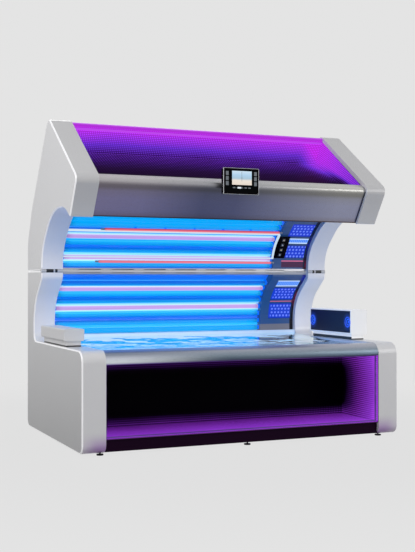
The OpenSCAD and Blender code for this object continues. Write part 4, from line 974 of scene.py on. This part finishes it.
# tanner windows: how far a point lies along the wall, measured on the line through the lamps
def chained(lamps, start):
    left = list(lamps)
    chain = [left.pop(left.index(start))]
    while left:
        chain.append(min(left, key=lambda other: away(other, chain[-1]["y"], chain[-1]["z"])))
        left.remove(chain[-1])
    return [Vector((lamp["y"], lamp["z"])) for lamp in chain]


def alongWall(chain, point):
    best = None
    travelled = 0
    for i, (a, b) in enumerate(zip(chain, chain[1:])):
        run = b - a
        share = (point - a).dot(run) / run.length_squared
        share = min(share, 1) if i < len(chain) - 2 else share
        share = max(share, 0) if i else share
        gap = (point - (a + run * share)).length
        if best is None or gap < best[0]:
            best = (gap, travelled + share * run.length)
        travelled += run.length
    return best[1]


# the windows of each unit, from the seam outwards
tannerUnits = {
    "face": dict(body="canopy", kinds=["darkRed", "redLine", "dotted", "bar", "dotted"]),
    "shoulder": dict(body="base", kinds=["bar", "dotted", "redLine", "dotted"]),
}
seamPlace = (0.37, 1.157)  # Y and Z where the two lamp walls meet
for unit, parts in tannerUnits.items():
    node = unit + "_tanner_windows"
    lamps = walls[parts["body"]]["lamps"]
    seamLamp = min(lamps, key=lambda lamp: abs(lamp["z"] - seamPlace[1]) + abs(lamp["y"] - seamPlace[0]))
    chain = chained(lamps, seamLamp)
    rows = []
    for points in solidsOf(node):
        places = [alongWall(chain, p.yz) for p in points]
        rows.append((min(places), max(places), points))
    rows.sort(key=lambda row: row[0])
    for number, ((low, high, points), kind) in enumerate(zip(rows, parts["kinds"]), 1):
        middle = (low + high) / 2
        copyWithValues(
            node, f"{unit}_window_{number}", "window_" + kind, parts["body"], "window", points,
            rise=lambda v: alongWall(chain, v.yz) - middle, halfHeight=lambda v: (high - low) / 2)
print("tanner windows made")


# display: silver rim, black glass and a plain picture of sky and sand, with keys at both sides
display = dict(
    # left, right, bottom and top, as shares of the housing
    screen=(0.247, 0.797, 0.364, 0.89), chip=(0.4, 0.5, 0.225, 0.285),
    strokes=((0.515, 0.522, 0.5, 0.86), (0.49, 0.55, 0.62, 0.63)),  # two lines on the picture
    columns=(0.075, 0.865), columnWidth=0.075, blocks=(0.34, 0.53, 0.72), blockHeight=0.15,
    row=(0.235, 0.275), rowKeys=5, rowFrom=0.267, rowStep=0.108, rowKey=0.07,
    # metres
    thick=0.0008, keyLift=0.0002, chipLift=0.0006, strokeLift=0.0008,
    rim=dict(left=0.005, right=0.003, ends=0.0025, lift=0.0012, depth=0.012, soft=0.0008),
    picture=stops(
        (0, 236, 218, 200), (0.36, 240, 226, 210), (0.5, 170, 196, 212), (0.75, 176, 208, 232),
        (1, 206, 226, 240)),
)
makePlain("display_glass", shade(5, 6, 8), 0.1, specular=0.03)
makePlain("grey_key", shade(92, 98, 104), 0.3, 0.5)
makePlain("pale_key", shade(196, 202, 208), 0.3, 0.8)
makePlain("rim", shade(196, 198, 202), 0.25, 0, 0.8)
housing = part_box("display_housing")
span = housing[1] - housing[0]


def makePicture(low, high):
    newMaterial("picture")
    rise = mapped(axesOf(restPoint())[2], low, high)
    glow = colourRamp(plus(rise, times(noise(40, 2), 0.08)), display["picture"])
    litSurface(glow, 0.1, 0.95)


def onDisplay(shape, left, right, bottom, top, lift=0, place=0):
    y = housing[0].y - lift
    x0, x1 = (housing[0].x + span.x * share for share in (left, right))
    z0, z1 = (housing[0].z + span.z * share for share in (bottom, top))
    addBlock(shape, (x0, y, z0), (x1, y + display["thick"], z1), place)


makePicture(*(housing[0].z + span.z * share for share in display["screen"][2:]))
shape = newShape()
onDisplay(shape, *display["screen"])
makePiece("display_picture", shape, ["picture"], "canopy", smooth=False)
shape = newShape()
for left in display["columns"]:
    right = left + display["columnWidth"]
    for low in display["blocks"]:
        onDisplay(shape, left, right, low, low + display["blockHeight"], display["keyLift"])
for k in range(display["rowKeys"]):
    left = display["rowFrom"] + k * display["rowStep"]
    onDisplay(shape, left, left + display["rowKey"], *display["row"], display["keyLift"])
onDisplay(shape, *display["chip"], display["chipLift"], 1)
for stroke in display["strokes"]:
    onDisplay(shape, *stroke, display["strokeLift"])
makePiece("display_keys", shape, ["grey_key", "pale_key"], "canopy", smooth=False)
shape = newShape()
rim = display["rim"]
low, high = housing
for x0, x1, z0, z1 in (
        (low.x, low.x + rim["left"], low.z, high.z), (high.x - rim["right"], high.x, low.z, high.z),
        (low.x, high.x, high.z - rim["ends"], high.z), (low.x, high.x, low.z, low.z + rim["ends"])):
    addBlock(shape, (x0, low.y - rim["lift"], z0), (x1, low.y + rim["depth"], z1))
makePiece("display_rim", shape, ["rim"], "canopy", smooth=False, soften=rim["soft"])
paintNode("display_screen", "display_glass")
print("display made")


# speakers in the right box: a bright trim ring, a lit ring and a dust cap, on a panel with a painted halo
# of the rings' light and a faint painted glow all over
speaker = dict(
    sides=48, radius=0.032, halo=0.075, panel=shade(20, 20, 50), haloTone=shade(34, 74, 200),
    # height and metres beyond the radius
    trim=[(-0.004, -0.001), (0.0012, -0.0012), (0.002, 0.004), (0.0012, 0.008), (-0.001, 0.008)],
    # height and share of the radius
    litRing=[(-0.0045, 0.55), (-0.0025, 0.62), (-0.0035, 0.8)],
    dustCap=[(-0.012, 0.36), (-0.007, 0.28), (-0.004, 0.12), (-0.0035, 0)],
)
makePlain("speaker_cone", shade(44, 96, 224), 0.4, 0.75)
makePlain("speaker_ring", shade(44, 84, 214), 0.3, 0.6)
widestFirst = sorted(solidsOf("speaker_panel"), key=lambda points: boxOf(points)[0].y - boxOf(points)[1].y)
panelFace = boxOf(widestFirst[0])[0].x
speakerCentres = [middleOf(points) for points in widestFirst[1:]]


def addTurned(shape, centre, profile, place):
    # profile holds pairs of height towards -X and radius, turned about the X axis
    verts = []
    for rise, radius in profile:
        verts += [(panelFace - rise, y, z) for y, z in circlePoints(*centre.yz, radius, speaker["sides"])]
    faces = [(a, d, c, b) for a, b, c, d in ringFaces(len(profile), speaker["sides"])]
    addTo(shape, verts, faces, place)


def makeSpeakerFace():
    newMaterial("speaker_face")
    near = []
    for centre in speakerCentres:
        reach = vectorMath("DISTANCE", flatPoint(), (0, centre.y, centre.z))["Value"]
        near.append(eased(reach, speaker["radius"], speaker["halo"], 1, 0))
    # painted halo of the rings' light on the panel
    tone = blended(maths("MAXIMUM", *near), speaker["panel"], speaker["haloTone"])
    litSurface(blended(times(noise(600), 0.2), tone, black), 0.3, 0.4, (0.01, 0.012, 0.03, 1))


makeSpeakerFace()
paintNode("speaker_panel", "speaker_face")
shape = newShape()
for centre in speakerCentres:
    addTurned(shape, centre, [(rise, speaker["radius"] + beyond) for rise, beyond in speaker["trim"]], 0)
    for profile in (speaker["litRing"], speaker["dustCap"]):
        addTurned(shape, centre, [(rise, speaker["radius"] * share) for rise, share in profile], 1)
makePiece("speaker_trim", shape, ["speaker_ring", "speaker_cone"], "base")
print("speakers made")


# marks on the keypad: a cross or two bars on each key
keyMarks = dict(lift=0.0006, thick=0.0014, cross=(0.007, 0.0012), bar=(0.005, 0.0009), barShift=0.004)
keys = {"start_button": "cross", "fan_button": "bars", "face_button": "cross", "sound_button": "bars"}
makePlain("mark_pale", shade(176, 180, 190), 0.4, 0.7)
makePlain("mark_amber", shade(200, 170, 80), 0.4, 0.7)


def keyPoints(name):
    return [v.co for v in nodes[name].data.vertices]


keyRun = (middleOf(keyPoints("sound_button")) - middleOf(keyPoints("start_button"))).normalized()
keyOut = Vector((0, keyRun.z, -keyRun.y))
if keyOut.y > 0:
    keyOut = -keyOut


def addMark(shape, centre, halfX, halfRun, place=0):
    # a small raised bar in the plane of the keypad
    x, run, out = Vector((halfX, 0, 0)), keyRun * halfRun, keyOut * keyMarks["thick"] / 2
    corners = [centre + x * i + run * j + out * k for i in (-1, 1) for j in (-1, 1) for k in (-1, 1)]
    addTo(shape, corners, boxFaces, place)


def keyTop(name):
    points = keyPoints(name)
    middle = sum(points, Vector()) / len(points)
    return middle + keyOut * (max((p - middle).dot(keyOut) for p in points) + keyMarks["lift"])


for name, mark in keys.items():
    shape = newShape()
    top = keyTop(name)
    addMark(shape, top, *keyMarks["cross"])
    if mark == "cross":
        addMark(shape, top, *reversed(keyMarks["cross"]))
    else:
        for shift in (keyMarks["barShift"], -keyMarks["barShift"]):
            addMark(shape, top + keyRun * shift, *keyMarks["bar"], 1)
    makePiece(name + "_mark", shape, ["mark_pale", "mark_amber"], name, smooth=False)
print("keypad marks made")


# floor, backdrop, light and camera
studio = dict(
    background=(0.775, 0.775, 0.775, 1), ambient=(0.32, 0.32, 0.335, 1),
    floorRadius=11, floorSides=96, floorColour=(0.42, 0.42, 0.43, 1),
    shadow=(1.6, 4, 0.94, 1),  # how the floor's shadow fades, in metres from the middle
)


def seenRays():
    path = addNode("LightPath", {})
    return maths("MAXIMUM", path["Is Camera Ray"], path["Is Glossy Ray"], path["Is Transmission Ray"])


world = bpy.data.worlds.new("studio")
scene.world = world
openTree(world)
sky = blended(seenRays(), studio["ambient"], studio["background"])
addNode("OutputWorld", {"Surface": addNode("Background", {"Color": sky})[0]})

newMaterial("studio_floor")
plainShare = eased(vectorMath("LENGTH", restPoint())["Value"], *studio["shadow"])
litFloor = addNode("BsdfDiffuse", {"Color": studio["floorColour"]})[0]
plainFloor = addNode("Emission", {"Color": studio["background"]})[0]
output(mixShader(times(seenRays(), plainShare), litFloor, plainFloor))
edge = [(x, y, 0) for x, y in circlePoints(0, 0, studio["floorRadius"], studio["floorSides"])]
floorMesh = bpy.data.meshes.new("floor")
floorMesh.from_pydata(edge, [], [tuple(range(len(edge)))])
floorMesh.materials.append(materials["studio_floor"])
floor = placed("floor", floorMesh)

lights = {
    "front_soft": dict(place=(-2.8, -6.2, 4.6), aim=(0, 0, 1), size=3.6, power=130),
    "left_high": dict(place=(-4.6, -0.6, 3.6), aim=(-1.1, 0.1, 1.9), size=2, power=60),
    "right_fill": dict(place=(5, -4.6, 2.8), aim=(0.6, 0, 1.1), size=3, power=90),
    "rear_soft": dict(place=(1.5, 5.5, 4.2), aim=(0, 0.4, 1.2), size=3.4, power=110),
}
for name, setting in lights.items():
    light = bpy.data.lights.new(name, "AREA")
    light.shape = "SQUARE"
    light.size = setting["size"]
    light.energy = setting["power"]
    stand = placed(name, light)
    stand.location = setting["place"]
    stand.rotation_euler = (Vector(setting["aim"]) - stand.location).to_track_quat("-Z", "Y").to_euler()
    stand.visible_camera = False

viewpoint = dict(place=(-2.9126, -6.701, 1.0928), tilt=90.22, turn=-23.484, focal=65.82, sensor=36)
cameraData = bpy.data.cameras.new("camera")
cameraData.sensor_width = viewpoint["sensor"]
cameraData.lens = viewpoint["focal"]
camera = placed("camera", cameraData)
camera.location = viewpoint["place"]
camera.rotation_euler = (radians(viewpoint["tilt"]), 0, radians(viewpoint["turn"]))
scene.camera = camera
scene.view_settings.view_transform = "Standard"
print("studio set")
